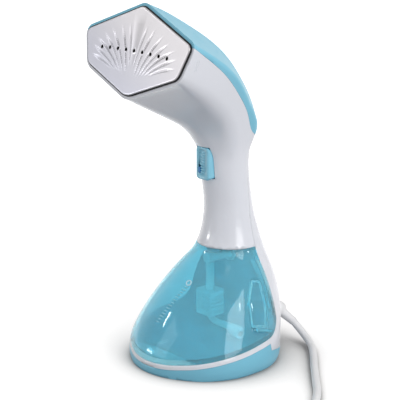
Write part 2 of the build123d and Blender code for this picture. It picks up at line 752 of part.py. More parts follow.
delivery_path = [(0, pump_y, pump_top + port_length), *[(0, y, z) for z, y in delivery_points],
                 plate_point(0, inlet_rise, lid_back + lid_thick + 16),
                 plate_point(0, inlet_rise, lid_back + lid_thick)]
with BuildPart() as delivery_hose:
    bar(delivery_path, arc_radii(delivery_path), hose_radius)
    bar(delivery_path, arc_radii(delivery_path), barb_radius, Mode.SUBTRACT)
parts["delivery_hose"] = delivery_hose

with BuildPart() as outlet_socket:
    rod((0, split, outlet_z), (0, socket_end, outlet_z), socket_radius)
    rod((0, split + wall, outlet_z), (0, split + wall + 1.6, outlet_z), socket_flange)
    rod((0, socket_riser, outlet_z), (0, socket_riser, riser_foot), hose_radius)
    rod((0, socket_riser, outlet_z), (0, socket_riser, riser_top), barb_radius)
    rod((0, split, outlet_z), (0, spout_end + fit, outlet_z), socket_bore, Mode.SUBTRACT)
    rod((0, split, outlet_z), (0, socket_riser, outlet_z), barb_bore, Mode.SUBTRACT)
    rod((0, socket_riser, outlet_z), (0, socket_riser, riser_top), barb_bore, Mode.SUBTRACT)
parts["outlet_socket"] = outlet_socket

# ---- Switch and its button ----
switch_back = switch_front + switch_size[1]
with BuildPart() as micro_switch:
    block((-switch_size[0] / 2, switch_front, switch_bottom),
          (switch_size[0] / 2, switch_back, switch_bottom + switch_size[2]))
    rod((0, switch_front - 1, button_z), (0, switch_front + button_length, button_z),
        button_radius + pin_fit,
        Mode.SUBTRACT)
parts["micro_switch"] = micro_switch

with BuildPart() as switch_button:
    rod((0, switch_front - button_out, button_z), (0, switch_front - button_out + button_length, button_z),
        button_radius)
parts["switch_button"] = switch_button

# ---- Trigger ----
cheek = trigger_half - trigger_skin + fit
with BuildPart() as trigger:
    with BuildSketch(Plane.XZ.offset(-trigger_back)) as trigger_view:
        with Locations((0, (trigger_top + trigger_bottom) / 2)):
            RectangleRounded(2 * trigger_half, trigger_top - trigger_bottom, trigger_corner)
    extrude(trigger_view.sketch, amount=trigger_back - trigger_face)
    fillet(trigger.faces().sort_by(Axis.Y)[0].edges(), 1.4)
    with BuildSketch(Plane.YZ) as underside:
        with BuildLine():
            Polyline((trigger_face, trigger_bottom), (trigger_back + 1, trigger_bottom + trigger_slope),
                     (trigger_back + 1, trigger_bottom - 1), (trigger_face, trigger_bottom - 1),
                     close=True)
        make_face()
    side_cut(underside.sketch)
    block((-cheek, trigger_face + trigger_skin, trigger_bottom + trigger_slope + trigger_skin),
          (cheek, trigger_back + 1, trigger_top - trigger_skin), Mode.SUBTRACT)
    block((-1, trigger_face + 1, button_z - 2.2), (2, switch_front - button_out - 0.3, button_z + 2.2))
    with BuildSketch(Plane.XZ.offset(-trigger_face - panel_deep)) as panel:
        with Locations((0, panel_z)):
            RectangleRounded(*panel_size, panel_size[0] / 2 - fit)
    extrude(panel.sketch, amount=panel_deep + 1, mode=Mode.SUBTRACT)
    for number in range(rib_count):
        height = panel_z + (number - (rib_count - 1) / 2) * rib_pitch
        block((-rib_size[0] / 2, trigger_face + fit, height - rib_size[1] / 2),
              (rib_size[0] / 2, trigger_face + trigger_skin / 2, height + rib_size[1] / 2))
    block((lock_at[0] - lock_size[0] / 2 - fit, trigger_face - 1, lock_at[1] - lock_size[1] / 2 - fit),
          (lock_at[0] + lock_size[0] / 2 + fit, trigger_face + trigger_skin,
           lock_at[1] + lock_size[1] / 2 + lock_travel
           + fit), Mode.SUBTRACT)
    rod((-trigger_half - 1, trigger_pin_y, trigger_pin_z),
        (trigger_half + 1, trigger_pin_y, trigger_pin_z),
        pin_radius + pin_fit, Mode.SUBTRACT)
parts["trigger"] = trigger

with BuildPart() as trigger_lock:
    block((lock_at[0] - lock_size[0] / 2, trigger_face - 0.5, lock_at[1] - lock_size[1] / 2),
          (lock_at[0] + lock_size[0] / 2, trigger_face + trigger_skin + 1, lock_at[1] + lock_size[1] / 2))
    block((lock_at[0] - lock_size[0] / 2 - 0.5, trigger_face + trigger_skin + fit,
           lock_at[1] - lock_size[1] / 2 - 0.5),
          (lock_at[0] + lock_size[0] / 2 + 0.5, trigger_face + trigger_skin + 1.2,
           lock_at[1] + lock_size[1] / 2 + 0.5))
parts["trigger_lock"] = trigger_lock

with BuildPart() as trigger_pin:
    rod((-pin_half, trigger_pin_y, trigger_pin_z), (pin_half, trigger_pin_y, trigger_pin_z), pin_radius)
parts["trigger_pin"] = trigger_pin

spring_ring = 1.85
spring_wire = 0.3
with BuildPart() as trigger_spring:
    for number in range(7):
        with Locations(Plane(origin=((number - 3) * spring_wire * 1.9, trigger_pin_y, trigger_pin_z),
                             z_dir=(1, 0, 0))):
            Torus(spring_ring, spring_wire)
    rod((-3 * spring_wire * 1.9, trigger_pin_y - spring_ring, trigger_pin_z),
        (-3 * spring_wire * 1.9, trigger_face + trigger_skin + spring_wire + fit, trigger_pin_z - 6),
        spring_wire)
    rod((3 * spring_wire * 1.9, trigger_pin_y + spring_ring, trigger_pin_z),
        (3 * spring_wire * 1.9, trigger_back + 0.8, trigger_pin_z - 4), spring_wire)
parts["trigger_spring"] = trigger_spring

# ---- Tank ----
flap_plane = Plane(origin=flap_origin, x_dir=flap_across, z_dir=flap_normal)
hinge_start = flap_point(-hinge_half, -hinge_drop, hinge_out)
hinge_end = flap_point(hinge_half, -hinge_drop, hinge_out)
lug_inner = hinge_half + run
lug_outer = lug_inner + lug_width


def flap_prism(shrink, mode=Mode.ADD):
    """The flap's outline, made smaller all round, as a prism through the tank's wall."""
    outline = rounded(flap_plane, inset(flap_outline, shrink),
                      [max(radius - shrink, 0.6) for radius in flap_radii])
    extrude(outline, amount=9, both=True, mode=mode)


with BuildPart() as tank_room:
    add(tank_inside)
    side_cut(tank_side(-seam - tank_wall), Mode.INTERSECT)

with BuildPart() as flap_lugs:
    for low, high in ((-lug_outer, -lug_inner), (lug_inner, lug_outer)):
        rod(flap_point(low, -hinge_drop, hinge_out), flap_point(high, -hinge_drop, hinge_out),
            hinge_radius)
        with BuildSketch(flap_plane.offset(-1.2)) as lug_foot:
            with Locations(((low + high) / 2, -hinge_drop)):
                Rectangle(high - low, 2 * hinge_radius)
        extrude(lug_foot.sketch, amount=hinge_out + 1.2)
    add(tank_room.part, mode=Mode.SUBTRACT)

with BuildPart() as tank_shell:
    add(foot_form)
    side_cut(tank_side(-seam), Mode.INTERSECT)
    add(tank_room.part, mode=Mode.SUBTRACT)
    flap_prism(0, Mode.SUBTRACT)
    add(flap_lugs.part)
    rod(flap_point(-lug_outer, -hinge_drop, hinge_out), flap_point(lug_outer, -hinge_drop, hinge_out),
        hinge_pin + fit / 2, Mode.SUBTRACT)
    rod((0, split - tank_wall - 1, outlet_z), (0, split + 1, outlet_z), spout_radius + fit, Mode.SUBTRACT)
parts["tank_shell"] = tank_shell

with BuildPart() as flap_pin:
    rod(flap_point(-lug_outer, -hinge_drop, hinge_out), flap_point(lug_outer, -hinge_drop, hinge_out),
        hinge_pin)
parts["flap_pin"] = flap_pin

with BuildPart() as fill_flap:
    add(foot_form)
    add(tank_inside, mode=Mode.SUBTRACT)
    flap_prism(run, Mode.INTERSECT)
    rod(hinge_start, hinge_end, hinge_radius)
    with BuildSketch(Plane(origin=flap_point(-hinge_half, 0, 0), x_dir=flap_plane.y_dir,
                           z_dir=flap_plane.x_dir)) as web:
        with BuildLine():
            Polyline((-hinge_drop, hinge_out), (-hinge_drop + hinge_radius, hinge_out), (4, 0.3),
                     (4, -0.8),
                     (run + fit, -0.8), (run + fit, 1.0), (-hinge_drop, hinge_out - hinge_radius),
                     close=True)
        make_face()
    extrude(web.sketch, amount=2 * hinge_half)
    rod(flap_point(-lug_outer, -hinge_drop, hinge_out), flap_point(lug_outer, -hinge_drop, hinge_out),
        hinge_pin + pin_fit, Mode.SUBTRACT)
parts["fill_flap"] = fill_flap

with BuildPart() as flap_seal:
    add(tank_inside)
    add(low_form(tank_wall + 1), mode=Mode.SUBTRACT)
    flap_prism(run + 0.8, Mode.INTERSECT)
    flap_prism(run + 2.4, Mode.SUBTRACT)
parts["flap_seal"] = flap_seal

tank_back = split - seam - tank_wall
with BuildPart() as tank_outlet:
    rod((0, outlet_front - outlet_body, outlet_z), (0, tank_back, outlet_z), outlet_body)
    rod((0, tank_back - 2, outlet_z), (0, tank_back, outlet_z), outlet_flange)
    rod((0, outlet_front, outlet_z), (0, spout_end, outlet_z), spout_radius)
    rod((0, outlet_front, outlet_z), (0, outlet_front, outlet_z - outlet_body - nipple_length),
        barb_radius)
    rod((0, outlet_front, outlet_z), (0, spout_end, outlet_z), barb_bore, Mode.SUBTRACT)
    rod((0, outlet_front, outlet_z), (0, outlet_front, outlet_z - outlet_body - nipple_length), barb_bore,
        Mode.SUBTRACT)
parts["tank_outlet"] = tank_outlet

with BuildPart() as outlet_seal:
    with Locations(Plane(origin=(0, seal_y, outlet_z), z_dir=(0, 1, 0))):
        Torus(spout_radius + seal_ring, seal_ring)
parts["outlet_seal"] = outlet_seal

with BuildPart() as suction_tube:
    rod((0, outlet_front, outlet_z - outlet_body), (0, outlet_front, filter_top), hose_radius)
    rod((0, outlet_front, outlet_z - outlet_body), (0, outlet_front, filter_top), barb_radius,
        Mode.SUBTRACT)
parts["suction_tube"] = suction_tube

with BuildPart() as water_filter:
    block((-filter_size[0] / 2, outlet_front - filter_size[1] / 2, filter_bottom),
          (filter_size[0] / 2, outlet_front + filter_size[1] / 2, filter_top))
    fillet(water_filter.edges().filter_by(Axis.Z), 3)
    for number in range(5):
        height = filter_bottom + 4 + number * 2.8
        block((-1, -reach, height), (filter_size[0], reach, height + 1.4), Mode.SUBTRACT)
    block((-filter_size[0] / 2 + 1.2, outlet_front - filter_size[1] / 2 + 1.2, filter_bottom + 1),
          (filter_size[0] / 2 - 1.2, outlet_front + filter_size[1] / 2 - 1.2, filter_top - 1))
    rod((0, outlet_front, filter_top), (0, outlet_front, filter_top + nipple_length), barb_radius)
parts["water_filter"] = water_filter

# ---- Intake hose and its weight, which turn under the filter ----
lean = radians(intake_lean)
intake_plane = Plane(origin=(0, outlet_front, filter_bottom),
                     x_dir=(cos(radians(intake_aim)), sin(radians(intake_aim)) * cos(lean),
                            sin(radians(intake_aim)) * sin(lean)),
                     z_dir=(0, -sin(lean), cos(lean)))


def intake_point(out, rise):
    """A point given along the intake hose: outwards, and up from the filter's underside."""
    point = intake_plane.from_local_coords(Vector(out, 0, rise))
    return point.X, point.Y, point.Z


intake_path = [intake_point(0, -0.5), intake_point(0, -intake_drop), intake_point(11, -intake_drop),
               intake_point(21, weight_rise - intake_drop),
               intake_point(intake_reach, weight_rise - intake_drop)]
with BuildPart() as intake_hose:
    bar(intake_path, [4.2, 30, 30], intake_radius)
parts["intake_hose"] = intake_hose

with BuildPart() as intake_weight:
    rod(intake_point(intake_reach, weight_rise - intake_drop),
        intake_point(intake_reach + weight_length, weight_rise - intake_drop), weight_radius)
    chamfer(intake_weight.edges().filter_by(GeomType.CIRCLE), 0.7)
    rod(intake_point(intake_reach + weight_length - 5, weight_rise - intake_drop),
        intake_point(intake_reach + weight_length + 1, weight_rise - intake_drop), intake_radius,
        Mode.SUBTRACT)
parts["intake_weight"] = intake_weight

# ---- Wiring in the spine ----
with BuildPart() as terminal_block:
    block((-block_size[0] / 2, split + wall, block_bottom),
          (block_size[0] / 2, split + wall + block_size[1], block_bottom + block_size[2]))
    for number in range(3):
        x = (number - 1) * block_size[0] / 3
        rod((x, split + wall + block_size[1] - 3, block_bottom + block_size[2] / 2),
            (x, split + wall + block_size[1] + 1, block_bottom + block_size[2] / 2), 2.2, Mode.SUBTRACT)
parts["terminal_block"] = terminal_block

clamp_x, clamp_y, _ = along(-clamp_back)
clamp_floor = spine_floor + shelf
with BuildPart() as cord_clamp:
    block((clamp_x - clamp_size[0] / 2, clamp_y - clamp_size[1] / 2, clamp_floor),
          (clamp_x + clamp_size[0] / 2, clamp_y + clamp_size[1] / 2, clamp_floor + clamp_size[2]))
    rod(along(-clamp_back - clamp_size[1]), along(-clamp_back + clamp_size[1]), cord_radius + fit / 2,
        Mode.SUBTRACT)
parts["cord_clamp"] = cord_clamp

loom_x = 7.6
loom_path = [(loom_x, 35, block_bottom + block_size[2]), (loom_x, 35, 96), (loom_x, 29.4, 110),
             (loom_x, 29.4, 136),
             (4.6, 28.2, 150), (4.6, 24.4, 166), (8, 8, 188), (12.5, -10, 210), (14, -26, 227)]
with BuildPart() as wiring_loom:
    bar(loom_path, arc_radii(loom_path), loom_radius)
parts["wiring_loom"] = wiring_loom

# ---- Mains cord ----
relief_run = Vector(*relief_tip) - Vector(*ball_at)
collar_back = cord_boss_in + fit + collar_thick
with BuildPart() as cord_bush:
    with Locations(ball_at):
        Sphere(ball_radius, rotation=(0, 0, 180))
    rod(along(-collar_back), along(0), cord_neck)
    rod(along(-collar_back), along(-cord_boss_in - fit), collar_radius)
    rod(along(-cord_tail), along(-cord_boss_in), cord_radius)
    with Locations(Plane(origin=ball_at, z_dir=relief_run)):
        Cone(*relief_radius, relief_run.length, align=(Align.CENTER, Align.CENTER, Align.MIN))
parts["cord_bush"] = cord_bush


def coil_point(angle, out=0.0):
    """A point on the coil's outer turn, or further along its tangent."""
    turn = radians(angle)
    radius = coil_mean + coil_across / 2 - cord_radius
    return (coil_at[0] + radius * cos(turn) - out * sin(turn),
            coil_at[1] + radius * sin(turn) + out * cos(turn),
            cord_radius)


lead_route = [relief_tip, *cord_points, coil_point(coil_in)]
lead_radii = arc_radii(lead_route)
print("cord radii", [round(radius, 1) for radius in lead_radii])
with BuildPart() as cord_lead:
    bar(lead_route, lead_radii, cord_radius)
parts["cord_lead"] = cord_lead

with BuildPart() as cord_coil:
    with BuildSketch(Plane.XY):
        with Locations(coil_at):
            Circle(coil_mean + coil_across / 2)
            Circle(coil_mean - coil_across / 2, mode=Mode.SUBTRACT)
    extrude(amount=coil_high)
parts["cord_coil"] = cord_coil

with BuildPart() as cord_end:
    rod(coil_point(coil_out, 8), coil_point(coil_out, plug_from), cord_radius)
parts["cord_end"] = cord_end

plug_aim = radians(coil_out + 90)
plug_plane = Plane(origin=(*coil_point(coil_out, plug_from)[:2], plug_deep / 2), x_dir=(0, 0, 1),
                   z_dir=(cos(plug_aim), sin(plug_aim), 0))
with BuildPart() as plug_body:
    with BuildSketch(Plane(origin=coil_point(coil_out, plug_from),
                           z_dir=plug_plane.z_dir)) as plug_relief_tip:
        Circle(cord_radius)
    with BuildSketch(plug_plane.offset(plug_relief)) as relief_foot:
        Circle(plug_deep / 3)
    loft(sections=[plug_relief_tip.sketch, relief_foot.sketch])
    with BuildSketch(plug_plane.offset(plug_relief)) as plug_back:
        RectangleRounded(plug_deep, plug_wide * 0.62, 5)
    with BuildSketch(plug_plane.offset(plug_relief + plug_length)) as plug_front:
        RectangleRounded(plug_deep, plug_wide, 8)
    loft(sections=[plug_back.sketch, plug_front.sketch])
    for side in (-1, 1):
        with BuildSketch(plug_plane.offset(plug_relief + plug_length)) as pin_seat:
            with Locations((0, side * plug_pin_gap / 2)):
                Circle(plug_pin_radius)
        extrude(pin_seat.sketch, amount=-8, mode=Mode.SUBTRACT)
parts["plug_body"] = plug_body

with BuildPart() as plug_pins:
    with BuildSketch(plug_plane.offset(plug_relief + plug_length - 8)) as pin_ends:
        with Locations((0, -plug_pin_gap / 2), (0, plug_pin_gap / 2)):
            Circle(plug_pin_radius)
    extrude(pin_ends.sketch, amount=plug_pin_length + 8)
    chamfer(plug_pins.edges().filter_by(GeomType.CIRCLE).group_by(Axis(plug_plane.origin,
                                                                       plug_plane.z_dir))[-1], 0.8)
parts["plug_pins"] = plug_pins

os.makedirs("parts", exist_ok=True)
for name, piece in parts.items():
    piece.part.label = name
    export_step(piece.part, f"parts/{name}.step")
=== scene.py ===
"""Finishes, cord and small pieces of a handheld garment steamer, laid out as an add-on and run as a script."""

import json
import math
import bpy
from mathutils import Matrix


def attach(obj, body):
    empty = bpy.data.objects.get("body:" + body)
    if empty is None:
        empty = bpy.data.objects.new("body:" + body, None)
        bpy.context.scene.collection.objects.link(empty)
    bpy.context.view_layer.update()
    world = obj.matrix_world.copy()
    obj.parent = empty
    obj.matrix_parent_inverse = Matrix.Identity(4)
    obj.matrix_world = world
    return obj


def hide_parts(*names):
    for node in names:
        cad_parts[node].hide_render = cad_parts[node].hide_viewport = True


bl_info = {
    "name": "Garment Steamer Finish",
    "version": (1, 0, 0),
    "blender": (4, 5, 0),
    "location": "View3D > Sidebar > Steamer",
    "description": "Finishes, the steam plate's relief, the tank's level marks and the mains cord",
    "category": "Object",
}

import bmesh
import bpy
from bpy.props import FloatProperty, FloatVectorProperty, IntProperty, PointerProperty
from mathutils import Vector
from mathutils.geometry import delaunay_2d_cdt

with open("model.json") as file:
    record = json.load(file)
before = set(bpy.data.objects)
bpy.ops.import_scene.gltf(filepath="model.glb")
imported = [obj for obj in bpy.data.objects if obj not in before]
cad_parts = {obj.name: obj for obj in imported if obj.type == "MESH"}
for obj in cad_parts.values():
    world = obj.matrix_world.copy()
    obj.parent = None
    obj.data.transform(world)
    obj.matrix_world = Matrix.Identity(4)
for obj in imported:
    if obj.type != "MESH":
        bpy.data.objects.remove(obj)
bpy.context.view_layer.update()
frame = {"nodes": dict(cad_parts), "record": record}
nodes = frame["nodes"]
mm = 0.001


# ---- Sizes and colours ----
def colour_setting(name, description, default):
    """A colour that a user may change."""
    return FloatVectorProperty(name=name, description=description, default=default, subtype="COLOR", size=3,
                               min=0.0, max=1.0)


def length_setting(name, description, default, low, high):
    """A length that a user may change."""
    return FloatProperty(name=name, description=description, default=default, min=low, max=high,
                         subtype="DISTANCE", unit="LENGTH")


def lamp_setting(name, default):
    """A lamp's power that a user may change."""
    return FloatProperty(name=name, description="Power of the lamp in watts", default=default, min=0.0, max=400.0)


class SteamerColours(bpy.types.PropertyGroup):
    """Colours of the mouldings, metals and rubber"""
    shell: colour_setting("Shell", "White body mouldings", (0.76, 0.775, 0.83))
    cover: colour_setting("Cover", "Sky blue cover, foot and trigger", (0.215, 0.56, 0.72))
    lock: colour_setting("Lock", "Deep blue trigger lock", (0.015, 0.20, 0.48))
    tank: colour_setting("Tank", "Clear blue tank", (0.31, 0.77, 0.90))
    plate: colour_setting("Plate", "Steam plate", (0.50, 0.485, 0.50))
    casting: colour_setting("Casting", "Boiler casting", (0.62, 0.62, 0.63))
    steel: colour_setting("Steel", "Screws, pins and clips", (0.63, 0.63, 0.65))
    winding: colour_setting("Winding", "Enamelled copper of the pump coil", (0.66, 0.26, 0.10))
    contact: colour_setting("Contact", "Nickel plated plug pins", (0.74, 0.69, 0.58))
    seal: colour_setting("Seal", "Black rubber seals", (0.012, 0.012, 0.014))
    pad: colour_setting("Pads", "Grey rubber feet", (0.16, 0.17, 0.18))
    dark: colour_setting("Dark parts", "Heat shield and switch", (0.045, 0.045, 0.05))
    milky: colour_setting("Milky parts", "Water parts in the tank", (0.74, 0.84, 0.86))
    hose: colour_setting("Hose", "Silicone hoses", (0.78, 0.84, 0.86))
    cord: colour_setting("Cord", "Mains cord and plug", (0.80, 0.80, 0.81))


class PlateSizes(bpy.types.PropertyGroup):
    """Relief of the steam plate"""
    groove_deep: length_setting("Groove depth", "Deepest part of a flute", 0.75 * mm, 0.0, 2 * mm)
    groove_wide: length_setting("Groove width", "Half width of a flute at its widest", 1.2 * mm, 0.5 * mm, 4 * mm)
    step: length_setting("Mesh step", "Spacing of the points on the plate's face", 0.55 * mm, 0.4 * mm, 3 * mm)
    edge: length_setting("Edge", "Rounding of the plate's rim", 1.0 * mm, 0.3 * mm, 1.8 * mm)
    thick: length_setting("Thickness", "Thickness of the pressed plate", 3.4 * mm, 1 * mm, 4 * mm)


class MarkSizes(bpy.types.PropertyGroup):
    """Level marks on the tank"""
    ticks: IntProperty(name="Ticks", description="Number of level ticks", default=20, min=2, max=60)
    long: length_setting("Tick length", "Length of the highest tick", 3.0 * mm, 0.5 * mm, 10 * mm)
    wide: length_setting("Tick width", "Width of a tick", 0.85 * mm, 0.2 * mm, 2 * mm)


class CordSizes(bpy.types.PropertyGroup):
    """Mains cord"""
    across: length_setting("Diameter", "Diameter of the cord", 6 * mm, 4 * mm, 10 * mm)
    real: length_setting("Length", "Length of the cord from its relief to its plug", 1.8, 1.0, 3.0)
    lowest: length_setting("Inner turn", "Radius of the coil's inner turn", 24 * mm, 20 * mm, 60 * mm)
    turns: FloatProperty(name="Turns", description="Turns in the coil", default=7.4056, min=1, max=12)


class StageSettings(bpy.types.PropertyGroup):
    """Floor, lamps and camera"""
    floor: colour_setting("Floor", "Pale floor as it lights the object", (0.36, 0.36, 0.38))
    floor_seen: colour_setting("Floor seen", "Pale floor as the camera sees it", (0.92, 0.91, 0.90))
    white_share: FloatProperty(name="White share", description="Share of plain white in the floor near the object",
                               default=0.62, min=0.0, max=1.0)
    white_strength: FloatProperty(name="White strength", description="Strength of that white", default=1.36,
                                  min=0.5, max=2.0)
    contact: length_setting("Contact shadow", "Reach of the shadow under the object's edge", 0.075, 0.0, 0.2)
    shadow_near: length_setting("Shadow start", "Distance where the floor begins to turn white", 0.10, 0.0, 2.0)
    shadow_far: length_setting("Shadow end", "Distance where the floor is white", 0.34, 0.1, 4.0)
    key: lamp_setting("Key lamp", 8.7)
    fill: lamp_setting("Fill lamp", 1.7)
    top: lamp_setting("Top lamp", 2.6)
    sky: FloatProperty(name="Surround", description="Strength of the surround", default=0.33, min=0.0, max=2.0)
    lens: FloatProperty(name="Lens", description="Focal length in millimetres", default=126.09, min=20, max=400)
    turn: FloatProperty(name="Azimuth", description="Camera's angle round the object",
                        default=math.radians(48.03), subtype="ANGLE")
    rise: FloatProperty(name="Elevation", description="Camera's angle above level",
                        default=math.radians(15.28), subtype="ANGLE")
    away: length_setting("Distance", "From the camera to its target", 1.07463, 0.3, 5.0)


# ---- Shader groups ----
def node_tree_group(name, inputs, outputs):
    """An empty shader group with named sockets."""
    tree = bpy.data.node_groups.new(name, "ShaderNodeTree")
    for label, kind, value in inputs:
        socket = tree.interface.new_socket(label, in_out="INPUT", socket_type=kind)
        if value is not None:
            socket.default_value = value
    for label, kind in outputs:
        tree.interface.new_socket(label, in_out="OUTPUT", socket_type=kind)
    start = tree.nodes.new("NodeGroupInput")
    end = tree.nodes.new("NodeGroupOutput")
    start.location, end.location = (-900, 0), (500, 0)
    return tree, start, end


def add_node(tree, kind, place, **values):
    """A node with its properties and unlinked inputs set. An underscore in an input's name is a space."""
    node = tree.nodes.new(kind)
    node.location = place
    for label, value in values.items():
        if label in node.bl_rna.properties:
            setattr(node, label, value)
        else:
            node.inputs[label.replace("_", " ")].default_value = value
    return node


def fill_sockets(tree, sockets, values):
    """Links each socket to its value, or sets it where the value is a plain one."""
    for socket, value in zip(sockets, values):
        if isinstance(value, bpy.types.NodeSocket):
            tree.links.new(value, socket)
        else:
            socket.default_value = value


def math_node(tree, kind, first, second, place):
    """A Math node on two values or sockets."""
    node = add_node(tree, "ShaderNodeMath", place, operation=kind)
    fill_sockets(tree, node.inputs, (first, second))
    return node.outputs[0]


def range_node(tree, value, start, end, low, high, place, shape="SMOOTHSTEP"):
    """A Map Range node that takes start to low and end to high."""
    node = add_node(tree, "ShaderNodeMapRange", place, interpolation_type=shape, From_Min=start, From_Max=end,
                    To_Min=low, To_Max=high)
    tree.links.new(value, node.inputs["Value"])
    return node.outputs["Result"]


def colour_mix(tree, share, first, second, place):
    """A Mix node between two colours or sockets."""
    node = add_node(tree, "ShaderNodeMix", place, data_type="RGBA")
    fill_sockets(tree, [node.inputs[label] for label in ("Factor", "A", "B")], (share, first, second))
    return node.outputs["Result"]


def moulded_skin_group():
    """Fine ripple and haze of an injection moulding."""
    tree, start, end = node_tree_group(
        "moulded skin",
        [("Vector", "NodeSocketVector", None), ("Ripple Scale", "NodeSocketFloat", 160.0),
         ("Grain Scale", "NodeSocketFloat", 2400.0), ("Grain", "NodeSocketFloat", 0.3),
         ("Roughness", "NodeSocketFloat", 0.2), ("Spread", "NodeSocketFloat", 0.06)],
        [("Height", "NodeSocketFloat"), ("Roughness", "NodeSocketFloat")])
    ripple = add_node(tree, "ShaderNodeTexNoise", (-600, 200), Detail=1.0, Roughness=0.4)
    grain = add_node(tree, "ShaderNodeTexNoise", (-600, -100), Detail=2.0, Roughness=0.6)
    haze = add_node(tree, "ShaderNodeTexNoise", (-600, -400), Scale=35.0, Detail=3.0, Roughness=0.55)
    for node in (ripple, grain, haze):
        tree.links.new(start.outputs["Vector"], node.inputs["Vector"])
    tree.links.new(start.outputs["Ripple Scale"], ripple.inputs["Scale"])
    tree.links.new(start.outputs["Grain Scale"], grain.inputs["Scale"])
    fine = math_node(tree, "MULTIPLY", grain.outputs["Fac"], start.outputs["Grain"], (-350, -50))
    height = math_node(tree, "ADD", ripple.outputs["Fac"], fine, (-100, 100))
    centred = math_node(tree, "SUBTRACT", haze.outputs["Fac"], 0.5, (-350, -350))
    spread = math_node(tree, "MULTIPLY", centred, start.outputs["Spread"], (-150, -350))
    rough = math_node(tree, "ADD", spread, start.outputs["Roughness"], (50, -300))
    tree.links.new(height, end.inputs["Height"])
    tree.links.new(rough, end.inputs["Roughness"])
    return tree


def handling_group():
    """Faint dust and wipe marks that dull a surface and shift its colour a little."""
    tree, start, end = node_tree_group(
        "handling marks",
        [("Vector", "NodeSocketVector", None), ("Color", "NodeSocketColor", (0.8, 0.8, 0.8, 1)),
         ("Mark Color", "NodeSocketColor", (0.6, 0.6, 0.6, 1)), ("Amount", "NodeSocketFloat", 0.05),
         ("Scale", "NodeSocketFloat", 45.0)],
        [("Color", "NodeSocketColor"), ("Mask", "NodeSocketFloat")])
    cloud = add_node(tree, "ShaderNodeTexNoise", (-650, 150), Detail=5.0, Roughness=0.65)
    stretch = add_node(tree, "ShaderNodeVectorMath", (-850, -200), operation="MULTIPLY")
    stretch.inputs[1].default_value = (1.0, 0.35, 6.0)
    wipe = add_node(tree, "ShaderNodeTexNoise", (-650, -200), Detail=2.0, Roughness=0.5)
    tree.links.new(start.outputs["Vector"], cloud.inputs["Vector"])
    tree.links.new(start.outputs["Vector"], stretch.inputs[0])
    tree.links.new(stretch.outputs["Vector"], wipe.inputs["Vector"])
    tree.links.new(start.outputs["Scale"], cloud.inputs["Scale"])
    tree.links.new(start.outputs["Scale"], wipe.inputs["Scale"])
    both = math_node(tree, "MULTIPLY", cloud.outputs["Fac"], wipe.outputs["Fac"], (-400, 0))
    step = range_node(tree, both, 0.2, 0.42, 0.0, 1.0, (-200, 0))
    mask = math_node(tree, "MULTIPLY", step, start.outputs["Amount"], (0, -50))
    mixed = colour_mix(tree, mask, start.outputs["Color"], start.outputs["Mark Color"], (200, 100))
    tree.links.new(mixed, end.inputs["Color"])
    tree.links.new(mask, end.inputs["Mask"])
    return tree


def drawn_metal_group():
    """Fine lines and cloudiness of worked metal."""
    tree, start, end = node_tree_group(
        "worked metal",
        [("Vector", "NodeSocketVector", None), ("Stretch", "NodeSocketVector", (40.0, 900.0, 900.0)),
         ("Roughness", "NodeSocketFloat", 0.3), ("Spread", "NodeSocketFloat", 0.15)],
        [("Height", "NodeSocketFloat"), ("Roughness", "NodeSocketFloat")])
    stretch = add_node(tree, "ShaderNodeVectorMath", (-700, 100), operation="MULTIPLY")
    lines = add_node(tree, "ShaderNodeTexNoise", (-450, 100), Scale=1.0, Detail=3.0, Roughness=0.6)
    cloud = add_node(tree, "ShaderNodeTexNoise", (-450, -200), Scale=70.0, Detail=4.0, Roughness=0.6)
    tree.links.new(start.outputs["Vector"], stretch.inputs[0])
    tree.links.new(start.outputs["Stretch"], stretch.inputs[1])
    tree.links.new(stretch.outputs["Vector"], lines.inputs["Vector"])
    tree.links.new(start.outputs["Vector"], cloud.inputs["Vector"])
    both = math_node(tree, "ADD", lines.outputs["Fac"], cloud.outputs["Fac"], (-200, 0))
    centred = math_node(tree, "SUBTRACT", both, 1.0, (0, 0))
    spread = math_node(tree, "MULTIPLY", centred, start.outputs["Spread"], (150, 0))
    rough = math_node(tree, "ADD", spread, start.outputs["Roughness"], (300, 0))
    tree.links.new(lines.outputs["Fac"], end.inputs["Height"])
    tree.links.new(rough, end.inputs["Roughness"])
    return tree


def group_of(name):
    """A shared group, built the first time it is asked for."""
    makers = {"moulded skin": moulded_skin_group, "handling marks": handling_group,
              "worked metal": drawn_metal_group}
    return bpy.data.node_groups.get(name) or makers[name]()


# ---- Materials ----
def layered_material(name, skin, skin_values, colour, worn, marks, relief, depth, dulled=False, **plain):
    """A material of a skin group and handling marks, with the Principled shader's plain values."""
    material = bpy.data.materials.new(name)
    material.use_nodes = True
    tree = material.node_tree
    tree.nodes.clear()
    shader = add_node(tree, "ShaderNodeBsdfPrincipled", (300, 0), **plain)
    out = add_node(tree, "ShaderNodeOutputMaterial", (600, 0))
    vector = add_node(tree, "ShaderNodeTexCoord", (-900, 0)).outputs["Object"]
    bump = add_node(tree, "ShaderNodeBump", (50, -300), Strength=relief, Distance=depth)
    skin = use_group(tree, skin, (-500, -250), vector, **skin_values)
    dust = use_group(tree, "handling marks", (-500, 150), vector, Color=(*colour, 1), Mark_Color=(*worn, 1),
                     **marks)
    rough = skin.outputs["Roughness"]
    if dulled:
        rough = math_node(tree, "ADD", rough, dust.outputs["Mask"], (-200, -100))
    for source, target in ((dust.outputs["Color"], shader.inputs["Base Color"]),
                           (rough, shader.inputs["Roughness"]),
                           (skin.outputs["Height"], bump.inputs["Height"]),
                           (bump.outputs["Normal"], shader.inputs["Normal"]),
                           (shader.outputs["BSDF"], out.inputs["Surface"])):
        tree.links.new(source, target)
    return material


